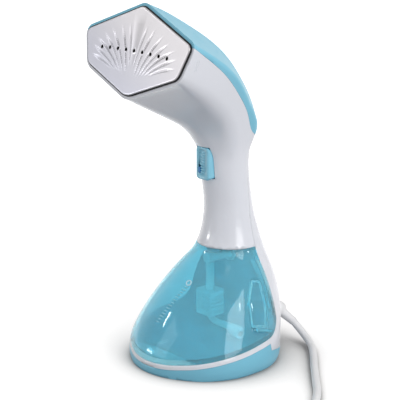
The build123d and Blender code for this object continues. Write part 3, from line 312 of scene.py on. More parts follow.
def use_group(tree, name, place, vector, **values):
    """A shared group placed in a material, with its own values."""
    node = tree.nodes.new("ShaderNodeGroup")
    node.node_tree = group_of(name)
    node.location = place
    tree.links.new(vector, node.inputs["Vector"])
    for label, value in values.items():
        node.inputs[label.replace("_", " ")].default_value = value
    return node


def moulded(name, colour, roughness, grain=0.3, ripple=0.06, coat=0.0, marks=0.05, see_into=0.0,
            ripple_scale=160.0, shine=0.5):
    """An injection moulded plastic or rubber."""
    worn = tuple(0.82 * part + 0.06 for part in colour)
    skin_values = {"Roughness": roughness, "Grain": grain, "Ripple_Scale": ripple_scale}
    return layered_material(name, "moulded skin", skin_values, colour, worn, {"Amount": marks}, ripple, 0.3 * mm,
                            dulled=True, IOR=1.49, Specular_IOR_Level=shine, Coat_Weight=coat,
                            Coat_Roughness=0.08, Subsurface_Weight=see_into,
                            Subsurface_Radius=(1.0, 1.0, 1.0), Subsurface_Scale=1.2 * mm)


def worked(name, colour, roughness, stretch=(40.0, 900.0, 900.0), relief=0.08, spread=0.15, marks=0.06):
    """A worked or cast metal."""
    worn = tuple(0.7 * part for part in colour)
    skin_values = {"Roughness": roughness, "Stretch": stretch, "Spread": spread}
    return layered_material(name, "worked metal", skin_values, colour, worn, {"Amount": marks, "Scale": 80.0},
                            relief, 0.1 * mm, Metallic=1.0)


def fluted_metal(name, colour):
    """A lapped metal with painted shade: darker in its flutes and holes, and darker and bluer towards its foot and
    one side.
    """
    painted_shade_tint, flute_shade_share = (0.76, 0.79, 0.86), 0.08
    shade_below, lit_above = 2.3, 3.05
    material = worked(name, colour, 0.36, (1500.0, 1500.0, 1500.0), 0.05, 0.08, 0.06)
    tree = material.node_tree
    shader = next(node for node in tree.nodes if node.type == "BSDF_PRINCIPLED")
    where = next(node for node in tree.nodes if node.type == "TEX_COORD").outputs["Object"]
    plain = shader.inputs["Base Color"].links[0].from_socket
    # Painted shade: the face turns darker and bluer towards its foot and one side, and keeps its plain colour
    # towards the other.
    slope = add_node(tree, "ShaderNodeVectorMath", (-700, 700), operation="DOT_PRODUCT")
    fill_sockets(tree, slope.inputs, (where, (5.0, 0.0, 11.0)))
    painted_light_share = range_node(tree, slope.outputs["Value"], shade_below, lit_above, 0.0, 1.0, (-500, 700))
    painted_shade_colour = (*(share * part for share, part in zip(painted_shade_tint, colour)), 1)
    tint = colour_mix(tree, painted_light_share, painted_shade_colour, plain, (-250, 500))
    # Painted shade: the flute_depth attribute darkens the flutes by their depth and paints the steam holes' rims
    # dark as shadow.
    depth = add_node(tree, "ShaderNodeAttribute", (-500, 450), attribute_name="flute_depth")
    painted_flute_shade = (*(flute_shade_share * part for part in colour), 1)
    shade = colour_mix(tree, depth.outputs["Fac"], tint, painted_flute_shade, (50, 300))
    tree.links.new(shade, shader.inputs["Base Color"])
    return material


def clear_moulding(name, colour, roughness=0.05, through=0.76, ripple=0.03):
    """A clear tinted moulding."""
    milky = tuple(min(1.0, part * 1.15 + 0.03) for part in colour)
    skin_values = {"Roughness": roughness, "Grain": 0.05, "Spread": 0.03, "Ripple_Scale": 70.0}
    return layered_material(name, "moulded skin", skin_values, colour, milky, {"Amount": 0.25}, ripple, 0.3 * mm,
                            Coat_Weight=0.4, Coat_Roughness=0.03, Transmission_Weight=through, IOR=1.2,
                            Specular_IOR_Level=0.9)


def finishes():
    """Every finish by the name of the record's slot, built once."""
    ready = {material["finish"]: material for material in bpy.data.materials if "finish" in material}
    if ready:
        return ready
    chosen = bpy.context.scene.steamer_colours
    colours = {name: tuple(getattr(chosen, name)) for name in SteamerColours.__annotations__}
    cast, wound, plated = (500.0, 500.0, 500.0), (20.0, 20.0, 4000.0), (900.0, 900.0, 60.0)
    made = {
        "white_plastic": moulded("white shell moulding", colours["shell"], 0.20, coat=0.15, see_into=0.12),
        "sky_plastic": moulded("sky blue moulding", colours["cover"], 0.38, see_into=0.1, shine=0.3),
        "trigger_blue": moulded("trigger moulding", colours["cover"], 0.26, coat=0.25, see_into=0.1),
        "lock_blue": moulded("lock moulding", colours["lock"], 0.24, coat=0.2),
        "tank_blue": clear_moulding("clear tank moulding", colours["tank"]),
        "plate_metal": fluted_metal("steam plate metal", colours["plate"]),
        "cast_alloy": worked("boiler casting", colours["casting"], 0.5, cast, 0.4, 0.2, 0.3),
        "steel": worked("bright steel", colours["steel"], 0.28),
        "copper": worked("copper winding", colours["winding"], 0.3, wound, 0.5, 0.1, 0.1),
        "brass_pin": worked("plated pin", colours["contact"], 0.22, plated, 0.06, 0.1, 0.1),
        "black_rubber": moulded("black rubber", colours["seal"], 0.6, grain=0.8, ripple=0.2, marks=0.12,
                                shine=0.2),
        "grey_rubber": moulded("grey rubber", colours["pad"], 0.6, grain=1.0, ripple=0.3, marks=0.15),
        "dark_plastic": moulded("dark heat-proof moulding", colours["dark"], 0.45, grain=0.7, ripple=0.2,
                                marks=0.1),
        "pale_plastic": moulded("milky water moulding", colours["milky"], 0.35, see_into=0.3),
        "clear_hose": moulded("silicone hose", colours["hose"], 0.3, ripple=0.1, see_into=0.4),
        "white_cord": moulded("soft cord vinyl", colours["cord"], 0.42, grain=0.8, ripple=0.12, marks=0.1,
                              see_into=0.15, ripple_scale=300.0),
    }
    for slot, material in made.items():
        material["finish"] = slot
    return made


def body_of(node):
    """The body that a CAD node rides on."""
    return next(name for name, members in frame["record"]["behaviour"]["bodies"].items() if node in members)


def slot_of(node):
    """The record's material slot of a CAD node."""
    return next(part["material_slot"] for part in frame["record"]["subparts"] if part["node"] == node)


def add_piece(name, data):
    """A new object in the scene."""
    piece = bpy.data.objects.new(name, data)
    bpy.context.scene.collection.objects.link(piece)
    return piece


def mesh_object(name, vertices, faces, smooth=True):
    """A mesh piece at the origin."""
    mesh = bpy.data.meshes.new(name)
    mesh.from_pydata([tuple(point) for point in vertices], [], faces)
    mesh.validate()
    if smooth:
        mesh.shade_smooth()
    return add_piece(name, mesh)


def face_outwards(mesh, merge=0.0):
    """Merges a closed mesh's doubles where asked, and turns its faces outwards."""
    work = bmesh.new()
    work.from_mesh(mesh)
    if merge:
        bmesh.ops.remove_doubles(work, verts=work.verts, dist=merge)
    bmesh.ops.recalc_face_normals(work, faces=work.faces)
    work.to_mesh(mesh)
    work.free()


def dress(piece, slot, body):
    """Gives a new piece its finish, its slot and its body."""
    piece.data.materials.clear()
    piece.data.materials.append(finishes()[slot])
    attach(piece, body)


def smooth_copy(node, angle):
    """A merged copy of a CAD node with smooth shading up to an angle between its faces."""
    work = bmesh.new()
    work.from_mesh(nodes[node].data)
    bmesh.ops.remove_doubles(work, verts=work.verts, dist=0.004 * mm)
    mesh = bpy.data.meshes.new(node + "_skin")
    work.to_mesh(mesh)
    work.free()
    mesh.shade_smooth()
    mesh.set_sharp_from_angle(angle=math.radians(angle))
    piece = add_piece(node + "_skin", mesh)
    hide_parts(node)
    dress(piece, slot_of(node), body_of(node))
    return piece


class STEAMER_OT_paint_nodes(bpy.types.Operator):
    """Give every CAD node its finish"""
    bl_idname = "steamer.paint_nodes"
    bl_label = "Paint the CAD Nodes"

    def execute(self, context):
        made = finishes()
        for name, node in nodes.items():
            for slot in node.material_slots:
                slot.material = made[slot_of(name)]
        return {"FINISHED"}


class STEAMER_OT_smooth_shells(bpy.types.Operator):
    """Smooth the large curved mouldings"""
    bl_idname = "steamer.smooth_shells"
    bl_label = "Smooth the Shells"

    def execute(self, context):
        for node in ("rear_shell", "front_shell", "top_cover", "base_foot", "tank_shell", "fill_flap", "trigger"):
            smooth_copy(node, 32.0)
        return {"FINISHED"}


# ---- Steam plate ----
plate_centre = Vector((0.0, -71.6, 241.9)) * mm
plate_tilt = math.radians(15.7)
plate_out = Vector((0.0, -math.cos(plate_tilt), math.sin(plate_tilt)))
plate_up = Vector((0.0, math.sin(plate_tilt), math.cos(plate_tilt)))
plate_corners = [(0.0, 37.0), (-57.6, 14.3), (-49.6, -9.5), (0.0, -28.3), (49.6, -9.5), (57.6, 14.3)]
plate_radii = [8.0, 4.5, 9.0, 16.0, 9.0, 4.5]
hole_count, hole_pitch, hole_radius, hole_height, hole_bow = 9, 9.0, 1.2, 4.6, 1.2
hole_sides, rim_steps, rim_clearance = 16, 4, 0.35
# Each flute's start, middle and end on the face's right half, in millimetres, and its share of the full depth
flutes = [((2.0, -9.0), (4.6, 8.0), (9.8, 24.0), 0.8), ((4.6, -14.0), (8.6, 6.0), (18.6, 22.5), 1.0),
          ((7.2, -14.5), (13.8, 4.6), (28.6, 18.6), 1.0), ((9.6, -14.0), (19.0, 3.2), (36.4, 14.2), 0.9),
          ((12.4, -13.0), (23.0, 1.0), (43.6, 9.6), 1.0), ((15.6, -12.2), (27.0, -2.8), (47.0, 4.0), 0.9),
          ((19.0, -11.4), (31.0, -5.6), (46.0, -3.0), 0.8)]


def plate_place(x, rise, out=0.0):
    """A point of the steam plate given across and up its face, in millimetres."""
    return plate_centre + Vector((x * mm, 0, 0)) + plate_up * (rise * mm) + plate_out * (out * mm)


def corner_turn(corners, number):
    """A corner of an outline, the ways to its neighbours, its middle line and half its angle."""
    here = Vector(corners[number])
    before = (Vector(corners[number - 1]) - here).normalized()
    after = (Vector(corners[(number + 1) % len(corners)]) - here).normalized()
    return here, before, after, (before + after).normalized(), before.angle(after) / 2


def rounded_outline(corners, radii, steps=8):
    """Points round an outline with arcs at its corners."""
    points = []
    for number, radius in enumerate(radii):
        here, before, after, middle, half = corner_turn(corners, number)
        centre = here + middle * (radius / math.sin(half))
        first = here + before * (radius / math.tan(half)) - centre
        last = here + after * (radius / math.tan(half)) - centre
        for step in range(steps + 1):
            points.append(centre + first.slerp(last, step / steps) * radius)
    return points


def inset_corners(corners, distance):
    """Corners of the outline with its sides moved inwards."""
    moved = []
    for number in range(len(corners)):
        here, _, _, middle, half = corner_turn(corners, number)
        moved.append(tuple(here + middle * (distance / math.sin(half))))
    return moved


def inside(point, outline):
    """True where a point is inside a convex outline that runs round the left, and clear of its sides."""
    for number in range(len(outline)):
        side = (outline[number] - outline[number - 1]).normalized()
        reach = point - outline[number - 1]
        if side.x * reach.y - side.y * reach.x < rim_clearance:
            return False
    return True


def hole_middles():
    """The middles of the steam holes on the plate's face, in millimetres."""
    half = (hole_count - 1) / 2
    shares = [(number - half) / half for number in range(hole_count)]
    return [Vector((share * hole_pitch * half, hole_height - hole_bow * share ** 2)) for share in shares]


steam_holes = hole_middles()


def flute_width(part, widest):
    """Half width of a flute at a part of its length: it swells towards its outer end and closes there."""
    root, swell, fullest, close = 0.4, 1.1, 0.7, 1.9
    if part < fullest:
        return widest * (root + swell * part)
    return widest * (root + swell * fullest - close * (part - fullest))


def crest_depth(x, rise):
    """Depth of the single wide groove up the middle of the face, as a share."""
    foot, top, narrow, spread, foot_fade, top_fade = -8, 33, 1.5, 0.13, 12, 9
    if not foot < rise < top:
        return 0.0
    across = max(0.0, 1 - (abs(x) / (narrow + spread * (rise - foot))) ** 2)
    return across * min(1.0, (rise - foot) / foot_fade, (top - rise) / top_fade)


def flute_depth(x, rise, deepest, widest):
    """Depth of the plate's relief at a point, in millimetres. It fades out round the steam holes."""
    path_steps, start_fade, end_fade = 24, 4.5, 3.2
    hole_border, hole_fade, crest_share = 0.1, 1.1, 0.5
    depth = 0.0
    near_hole = min(math.hypot(x - hole.x, rise - hole.y) for hole in steam_holes)
    flat = min(1.0, max(0.0, (near_hole - hole_radius - hole_border) / hole_fade))
    for start, middle, end, share in flutes:
        for step in range(path_steps + 1):
            part = step / path_steps
            a, b, c = (1 - part) ** 2, 2 * part * (1 - part), part ** 2
            px = a * start[0] + b * middle[0] + c * end[0]
            py = a * start[1] + b * middle[1] + c * end[1]
            gap = math.hypot(abs(x) - px, rise - py) / flute_width(part, widest)
            if gap < 1:
                ends = min(1.0, start_fade * part, end_fade * (1 - part))
                depth = max(depth, share * deepest * ends * (1 - gap * gap) ** 1.5)
    return flat * (depth + crest_share * deepest * crest_depth(x, rise))


def ring_edges(first, count):
    """The edges of a closed ring of points numbered from the first."""
    return [(first + number, first + (number + 1) % count) for number in range(count)]


def ring_wall(near, far):
    """Faces between two closed rings of vertex numbers."""
    count = len(near)
    return [(near[side], far[side], far[(side + 1) % count], near[(side + 1) % count]) for side in range(count)]


def rim_rings(edge):
    """Rings of points down the plate's rounded rim, each with its height against the face."""
    rings = []
    for number in range(rim_steps + 1):
        turn = math.radians(90 * number / rim_steps)
        inward, down = edge * (1 - math.sin(turn)), edge * (1 - math.cos(turn))
        radii = [radius - inward for radius in plate_radii]
        outline = rounded_outline(inset_corners(plate_corners, inward), radii)
        rings.append([(point, -down) for point in outline])
    return rings


def face_grid(border, middles, step):
    """Staggered points on the plate's face, clear of its rim and its holes."""
    wide, high, foot = 120, 70, -30
    points = []
    for row in range(int(high / step)):
        for column in range(int(wide / step)):
            point = Vector((-wide / 2 + (column + 0.5 * (row % 2)) * step, foot + row * step))
            clear = all((point - middle).length > hole_radius + 0.35 * step for middle in middles)
            if clear and inside(point, border):
                points.append(point)
    return points


def pierced_face(points, edges, middles, clear):
    """Triangles over the points, left open at the holes, and the old numbers of each new point."""
    points, _, faces, origins, _, _ = delaunay_2d_cdt(points, edges, [], 1, 1e-5)
    kept = []
    for face in faces:
        centre = sum((points[corner] for corner in face), Vector((0, 0))) / len(face)
        if all((centre - middle).length > hole_radius * clear for middle in middles):
            kept.append(tuple(face))
    return points, kept, origins


class STEAMER_OT_press_plate(bpy.types.Operator):
    """Make the fluted steam plate"""
    bl_idname = "steamer.press_plate"
    bl_label = "Press the Steam Plate"

    def execute(self, context):
        sizes = context.scene.steamer_plate
        deepest, widest = sizes.groove_deep / mm, sizes.groove_wide / mm
        plate = mesh_object("fluted_plate", *self.pressed(sizes, deepest, widest))
        face_outwards(plate.data, 0.001 * mm)
        self.paint_flute_shade(plate.data, deepest)
        plate.data.shade_smooth()
        plate.data.set_sharp_from_angle(angle=math.radians(50))
        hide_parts("steam_plate")
        dress(plate, "plate_metal", body_of("steam_plate"))
        return {"FINISHED"}

    def pressed(self, sizes, deepest, widest):
        """Vertices and faces of the plate: its face, rounded rim, back and hole walls."""
        rings = rim_rings(sizes.edge / mm)
        border = [point for point, _ in rings[0]]
        count = len(border)
        turns = [math.radians(360 * side / hole_sides) for side in range(hole_sides)]
        holes = [[middle + Vector((math.cos(turn), math.sin(turn))) * hole_radius for turn in turns]
                 for middle in steam_holes]
        hole_points = [point for ring in holes for point in ring]
        middles = [sum(ring, Vector((0, 0))) / hole_sides for ring in holes]
        edges = ring_edges(0, count)
        for number in range(hole_count):
            edges += ring_edges(count + hole_sides * number, hole_sides)
        flat = border + hole_points + face_grid(border, middles, sizes.step / mm)
        points, faces, origins = pierced_face(flat, edges, middles, 0.99)
        where = {old: number for number, source in enumerate(origins) for old in source}
        vertices = [plate_place(point.x, point.y, -flute_depth(point.x, point.y, deepest, widest))
                    for point in points]
        before = [where[number] for number in range(count)]
        thick = sizes.thick / mm
        for ring in rings[1:] + [[(point, -thick) for point, _ in rings[-1]]]:
            now = list(range(len(vertices), len(vertices) + count))
            vertices += [plate_place(point.x, point.y, drop) for point, drop in ring]
            faces += ring_wall(before, now)
            before = now
        hole_backs = list(range(len(vertices), len(vertices) + len(hole_points)))
        vertices += [plate_place(point.x, point.y, -thick) for point in hole_points]
        back_numbers = before + hole_backs
        back_flat = [point for point, _ in rings[-1]] + hole_points
        _, back_faces, sources = pierced_face(back_flat, edges, middles, 0.9)
        faces += [tuple(back_numbers[sources[corner][-1]] for corner in reversed(face)) for face in back_faces]
        for number in range(hole_count):
            first = hole_sides * number
            near = [where[count + first + side] for side in range(hole_sides)]
            faces += ring_wall(hole_backs[first:first + hole_sides], near)
        return vertices, faces

    def paint_flute_shade(self, mesh, deepest):
        """Writes the painted shade of each point: the flutes darker by their depth, and the holes' rims dark in
        full, as painted shadow.
        """
        painted_darkness = mesh.attributes.new("flute_depth", "FLOAT", "POINT")
        middles = [plate_place(middle.x, middle.y) for middle in steam_holes]
        for corner, value in zip(mesh.vertices, painted_darkness.data):
            depth = -((corner.co - plate_centre) / mm).dot(plate_out)
            share = min(1.0, max(0.0, depth / deepest)) if depth < 1.2 * deepest else 0.0
            value.value = 0.8 * share ** 2
            for middle in middles:
                reach = (corner.co - middle) / mm
                if (reach - plate_out * reach.dot(plate_out)).length < 1.02 * hole_radius:
                    value.value = 1.0


# ---- Raised marks on a moulding ----
def raised_marks_tree():
    """Geometry nodes: a row of raised lines that follow a surface."""
    tree = bpy.data.node_groups.get("raised marks")
    if tree:
        return tree
    line_points, line_sides = 9, 10
    tree = bpy.data.node_groups.new("raised marks", "GeometryNodeTree")
    tree.interface.new_socket("Geometry", in_out="INPUT", socket_type="NodeSocketGeometry")
    for label, kind in (("Surface", "Object"), ("First", "Vector"), ("Last", "Vector"), ("Count", "Int"),
                        ("Direction", "Vector"), ("Short", "Float"), ("Long", "Float"), ("Radius", "Float"),
                        ("Material", "Material")):
        tree.interface.new_socket(label, in_out="INPUT", socket_type="NodeSocket" + kind)
    tree.interface.new_socket("Geometry", in_out="OUTPUT", socket_type="NodeSocketGeometry")
    start = tree.nodes.new("NodeGroupInput")
    end = tree.nodes.new("NodeGroupOutput")
    start.location, end.location = (-1400, 0), (1400, 0)
    given = start.outputs

    def place(kind, x, y, links, **values):
        """A node with its links made, which gives its first output."""
        node = add_node(tree, kind, (x, y), **values)
        for label, source in links.items():
            tree.links.new(source, node.inputs[label])
        return node.outputs[0]

    row = place("GeometryNodeMeshLine", -1100, 300, {"Count": given["Count"], "Start Location": given["First"],
                                                     "Offset": given["Last"]}, mode="END_POINTS")
    half, back = (place("ShaderNodeVectorMath", -1100, y, {0: given["Direction"]}, operation="SCALE", Scale=share)
                  for y, share in ((-100, 0.5), (-300, -0.5)))
    line = place("GeometryNodeCurvePrimitiveLine", -850, -100, {"Start": back, "End": half})
    index = place("GeometryNodeInputIndex", -1100, -500, {})
    last = math_node(tree, "SUBTRACT", given["Count"], 1.0, (-1100, -650))
    least = math_node(tree, "MAXIMUM", last, 1.0, (-950, -650))
    share = math_node(tree, "DIVIDE", index, least, (-800, -550))
    length = place("ShaderNodeMapRange", -600, -500, {"Value": share, "To Min": given["Short"],
                                                      "To Max": given["Long"]})
    lines = place("GeometryNodeInstanceOnPoints", -400, 200, {"Points": row, "Instance": line, "Scale": length})
    loose = place("GeometryNodeRealizeInstances", -200, 200, {"Geometry": lines})
    finer = place("GeometryNodeResampleCurve", 0, 200, {"Curve": loose}, Count=line_points)
    target = add_node(tree, "GeometryNodeObjectInfo", (-200, -200))
    tree.links.new(given["Surface"], target.inputs["Object"])
    nearest = place("GeometryNodeProximity", 0, -200, {0: target.outputs["Geometry"]}, target_element="FACES")
    seat = place("GeometryNodeSetPosition", 250, 200, {"Geometry": finer, "Position": nearest})
    profile = place("GeometryNodeCurvePrimitiveCircle", 250, -100, {"Radius": given["Radius"]},
                    Resolution=line_sides)
    bars = place("GeometryNodeCurveToMesh", 500, 200, {"Curve": seat, "Profile Curve": profile}, Fill_Caps=True)
    soft = place("GeometryNodeSetShadeSmooth", 700, 200, {"Geometry": bars})
    whole = place("GeometryNodeRealizeInstances", 900, 200, {"Geometry": soft})
    painted = place("GeometryNodeSetMaterial", 1100, 200, {"Geometry": whole, "Material": given["Material"]})
    tree.links.new(painted, end.inputs["Geometry"])
    return tree


def raised_marks(name, surface, row, count, direction, lengths, radius, slot, body):
    """A row of raised lines on a piece's surface, as one plain mesh. Lengths are in millimetres."""
    first, last = row
    carrier = mesh_object(name + "_carrier", [(0, 0, 0)], [], False)
    modifier = carrier.modifiers.new("marks", "NODES")
    modifier.node_group = raised_marks_tree()
    values = {"Surface": surface, "First": Vector(first) * mm, "Last": Vector(last) * mm, "Count": count,
              "Direction": Vector(direction).normalized() * mm, "Short": float(lengths[0]),
              "Long": float(lengths[1]), "Radius": radius * mm, "Material": finishes()[slot]}
    for item in modifier.node_group.interface.items_tree:
        if item.in_out == "INPUT" and item.name in values:
            modifier[item.identifier] = values[item.name]
    evaluated = carrier.evaluated_get(bpy.context.evaluated_depsgraph_get())
    mesh = bpy.data.meshes.new_from_object(evaluated)
    bpy.data.objects.remove(carrier)
    mesh.name = name
    dress(add_piece(name, mesh), slot, body)


def ring_mark(name, surface, place, radius, thick, slot, body):
    """A raised ring that follows a piece's surface. Lengths are in millimetres."""
    steps, sides = 36, 8
    _, spot, out, _ = surface.closest_point_on_mesh(Vector(place) * mm)
    side = out.orthogonal().normalized()
    along = out.cross(side)
    vertices, faces = [], []
    for step in range(steps):
        turn = math.radians(360 * step / steps)
        around = side * math.cos(turn) + along * math.sin(turn)
        _, seat, normal, _ = surface.closest_point_on_mesh(spot + around * radius * mm)
        here, there = sides * step, sides * ((step + 1) % steps)
        for part in range(sides):
            angle = math.radians(360 * part / sides)
            vertices.append(seat + (around * math.cos(angle) + normal * math.sin(angle)) * thick * mm)
            beside = (part + 1) % sides
            faces.append((here + part, here + beside, there + beside, there + part))
    ring = mesh_object(name, vertices, faces)
    face_outwards(ring.data)
    dress(ring, slot, body)


# Ends of the level scale, middle of its ring and ends of the head's ridges, in millimetres
scale_foot, scale_top = (-7.2, -52.5, 25.6), (3.4, -25.0, 62.4)
ring_place = (4.9, -23.4, 63.9)
clip_top, clip_foot = (55.1, -58.2, 244.7), (52.5, -59.4, 237.0)
flap_origin = Vector((53.7, 5.5, 33.0))
flap_normal = Vector((0.903, 0.018, 0.428)).normalized()
flap_across = Vector((0.109, 0.955, -0.270)).normalized()


class STEAMER_OT_mark_tank(bpy.types.Operator):
    """Raise the level marks on the tank, the ribs on its flap and the ridges on the head's side"""
    bl_idname = "steamer.mark_tank"
    bl_label = "Mark the Tank"

    def execute(self, context):
        self.mark_levels(context.scene.steamer_marks)
        self.rib_flap()
        self.ridge_side()
        return {"FINISHED"}

    def mark_levels(self, sizes):
        """The level ticks, shorter towards the foot, and the ring above them."""
        shortest, lift, ring_radius, ring_thick = 0.8, 10, 2.1, 0.3
        tank = bpy.data.objects["tank_shell_skin"]
        body = body_of("tank_shell")
        _, _, out, _ = tank.closest_point_on_mesh((Vector(scale_foot) + Vector(scale_top)) * mm / 2)
        level = Vector((0, 0, 1)).cross(out)
        row = [Vector(end) + out * lift for end in (scale_foot, scale_top)]
        long = sizes.long / mm
        raised_marks("level_ticks", tank, row, sizes.ticks, level, (shortest * long, long), sizes.wide / mm / 2,
                     "white_plastic", body)
        ring_mark("level_ring", tank, ring_place, ring_radius, ring_thick, "white_plastic", body)

    def rib_flap(self):
        """Fine upright ribs on the filler flap."""
        count, length, radius, rise, lift, ends = 4, 26, 0.3, 18, 6, (-5.2, 3.6)
        up = flap_normal.cross(flap_across)
        row = [flap_origin + flap_across * part + up * rise + flap_normal * lift for part in ends]
        raised_marks("flap_ribs", bpy.data.objects["fill_flap_skin"], row, count, up, (length, length), radius,
                     "tank_blue", body_of("fill_flap"))

    def ridge_side(self):
        """Two fine ridges on the head's side."""
        half_gap, radius = 0.9, 0.22
        side = bpy.data.objects["front_shell_skin"]
        top, foot = Vector(clip_top), Vector(clip_foot)
        middle, along = (top + foot) / 2, top - foot
        _, _, out, _ = side.closest_point_on_mesh((top + foot) * mm / 2)
        across = out.cross(along).normalized() * half_gap
        raised_marks("clip_ridges", side, [middle - across, middle + across], 2, along,
                     (along.length, along.length), radius, "white_plastic", body_of("front_shell"))


# ---- Mains cord ----
relief_tip = (25.4, 70.5, 15.6)
lead_points = [(31.6, 71.2, 10.9), (38.6, 70.3, 7.1), (47.0, 67.4, 4.4), (56.0, 60.8, 3.3), (67.2, 50.3, 3.05),
               (81.2, 36.0, 3.0), (100.2, 17.7, 3.0), (120.5, -1.2, 3.0), (137.0, -25.0, 3.0), (148.0, -52.0, 3.0)]
coil_centre = (196.0, -62.0)
coil_start = math.radians(204.0)
# The coil's lower layer has so many turns, each layer so many shifts of a strand's width, and the line
# climbs to the upper layer in part of a turn. A shift is made from one part of a turn, over a width.
points_per_turn, lower_turns, coil_shifts, climb_turns = 16, 3.6, 3, 0.2
lower_shift, upper_shift = (0.8, 0.2), (0.41, 0.38)
# How far past the coil the line's last points lie, in millimetres, and their heights in diameters
tail_steps = ((9.0, 1.35), (18.0, 0.72), (26.0, 0.5))


def shifted(turn, first, width):
    """Whole shifts of a neat coil's strand, each made within one part of a turn."""
    whole = math.floor(turn)
    return whole + eased((turn - whole - first) / width)


def eased(share):
    """A share from 0 to 1 with a soft start and end."""
    share = min(1.0, max(0.0, share))
    return share * share * (3 - 2 * share)


def coil_point(turn, across, lowest):
    """A point of the coil's line after so many turns: in along the lower layer and out along the upper."""
    if turn < lower_turns:
        strand = coil_shifts - min(coil_shifts, shifted(turn, *lower_shift))
    else:
        strand = min(coil_shifts, max(0.0, shifted(turn, *upper_shift) - coil_shifts - 1))
    radius = lowest + across * strand
    height = across / 2 + across * eased((turn - lower_turns) / climb_turns)
    angle = coil_start + 2 * math.pi * turn
    return (coil_centre[0] + radius * math.cos(angle), coil_centre[1] + radius * math.sin(angle), height)


class STEAMER_OT_lay_cord(bpy.types.Operator):
    """Lay the mains cord from its relief to the plug"""
    bl_idname = "steamer.lay_cord"
    bl_label = "Lay the Cord"

    def execute(self, context):
        sizes = context.scene.steamer_cord
        across, lowest = sizes.across / mm, sizes.lowest / mm
        points = [relief_tip, *lead_points]
        steps = round(sizes.turns * points_per_turn)
        points += [coil_point(sizes.turns * step / steps, across, lowest) for step in range(steps + 1)]
        last_angle = coil_start + 2 * math.pi * sizes.turns
        radius = lowest + coil_shifts * across
        for out, height in tail_steps:
            points.append((coil_centre[0] + radius * math.cos(last_angle) - out * math.sin(last_angle),
                           coil_centre[1] + radius * math.sin(last_angle) + out * math.cos(last_angle),
                           across * height))
        tie = self.cord_tie(coil_start + math.pi, lowest - across, lowest + 3.5 * across, across)
        curve = bpy.data.curves.new("mains_cord", "CURVE")
        curve.dimensions = "3D"
        curve.bevel_depth = sizes.across / 2
        curve.bevel_resolution = 4
        curve.use_fill_caps = True
        spline = curve.splines.new("NURBS")
        spline.points.add(len(points) - 1)
        for spot, point in zip(spline.points, points):
            spot.co = (*(part * mm for part in point), 1.0)
        spline.order_u = 3
        spline.use_endpoint_u = True
        spline.resolution_u = 6
        curve.materials.append(finishes()["white_cord"])
        cord = add_piece("mains_cord", curve)
        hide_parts("cord_lead", "cord_coil", "cord_end")
        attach(cord, body_of("cord_lead"))
        return {"FINISHED"}

    def cord_tie(self, angle, inner, outer, across):
        """A soft strap round the coil's strands at an angle. Lengths are in millimetres."""
        corner, thick, wide, spare, foot, corner_steps = 2.6, 1.0, 12.0, 1.2, 0.1, 6
        out = Vector((math.cos(angle), math.sin(angle), 0))
        along = Vector((-math.sin(angle), math.cos(angle), 0))
        centre = Vector((*coil_centre, 0)) + out * (inner + outer) / 2
        half, top = (outer - inner) / 2 + spare, 2 * across + spare
        loop = []
        for side, upper, first in ((1, True, 0), (-1, True, 90), (-1, False, 180), (1, False, 270)):
            for step in range(corner_steps + 1):
                turn = math.radians(first + 90 * step / corner_steps)
                loop.append((side * (half - corner) + corner * math.cos(turn),
                             (top - corner if upper else foot + corner) + corner * math.sin(turn)))
        level = (foot + top) / 2
        vertices = []
        for shift, inset in ((-wide / 2, 0), (wide / 2, 0), (wide / 2, thick), (-wide / 2, thick)):
            for x, rise in loop:
                height = level + (rise - level) * (1 - inset / (top - level))
                place = centre + out * x * (1 - inset / half) + along * shift + Vector((0, 0, height))
                vertices.append(place * mm)
        count = len(loop)
        rings = [list(range(count * number, count * (number + 1))) for number in (0, 1, 2, 3, 0)]
        faces = [face for near, far in zip(rings, rings[1:]) for face in ring_wall(near, far)]
        tie = mesh_object("cord_tie", vertices, faces)
        face_outwards(tie.data)
        tie.data.set_sharp_from_angle(angle=math.radians(40))
        dress(tie, "grey_rubber", body_of("cord_lead"))
        return tie


# ---- Stage ----
def area_lamp(name, place, aim, size, watts):
    """A soft lamp that looks at a point and isn't seen itself."""
    light = bpy.data.lights.new(name, "AREA")
    light.shape = "RECTANGLE"
    light.size, light.size_y = size
    light.energy = watts
    lamp = add_piece(name, light)
    lamp.location = place
    lamp.visible_camera = False
    lamp.rotation_euler = (Vector(aim) - Vector(place)).to_track_quat("-Z", "Y").to_euler()


def seen_white(tree, shader_socket, out, kind, share, strength):
    """Shows a share of plain white to the camera, in gloss and through clear pieces."""
    path = add_node(tree, "ShaderNodeLightPath", (-600, 400)).outputs
    white = add_node(tree, kind, (0, 300), Color=(1, 1, 1, 1), Strength=strength)
    looked_at = math_node(tree, "MAXIMUM", path["Is Camera Ray"], path["Is Transmission Ray"], (-400, 500))
    looked_at = math_node(tree, "MAXIMUM", looked_at, path["Is Glossy Ray"], (-250, 450))
    seen = math_node(tree, "MULTIPLY", looked_at, share, (-100, 450))
    mix = add_node(tree, "ShaderNodeMixShader", (300, 200))
    for source, target in zip((seen, shader_socket, white.outputs[0]), mix.inputs):
        tree.links.new(source, target)
    tree.links.new(mix.outputs["Shader"], out.inputs["Surface"])
    return looked_at


# Place, size and watts of the small lamps that make the glints on the tank
window_lamps = [((-0.739, -0.710, 0.710), (0.06, 0.10), 0.6), ((-0.822, -0.920, 0.170), (0.24, 0.10), 1.6),
                ((0.978, 0.546, 0.590), (0.03, 0.08), 0.3), ((0.955, 0.087, 0.827), (0.02, 0.12), 0.3)]
window_aim = (0, 0, 0.05)
# Place, aim and size of the large lamps
studio_lamps = {"key": ((1.1, -0.05, 0.6), (0, 0, 0.12), (0.6, 0.9)),
                "fill": ((-0.45, -1.1, 0.55), (0, 0, 0.14), (0.5, 0.8)),
                "top": ((0.0, 0.1, 1.3), (0, 0, 0.14), (0.9, 0.9))}
# Openness of the floor where its painted contact shadow is darkest and where it ends, and the strength of the
# darkest part
shut_in, darkest = (0.45, 0.93), 0.12
camera_aim = (-8.48, 0.0, 122.42)


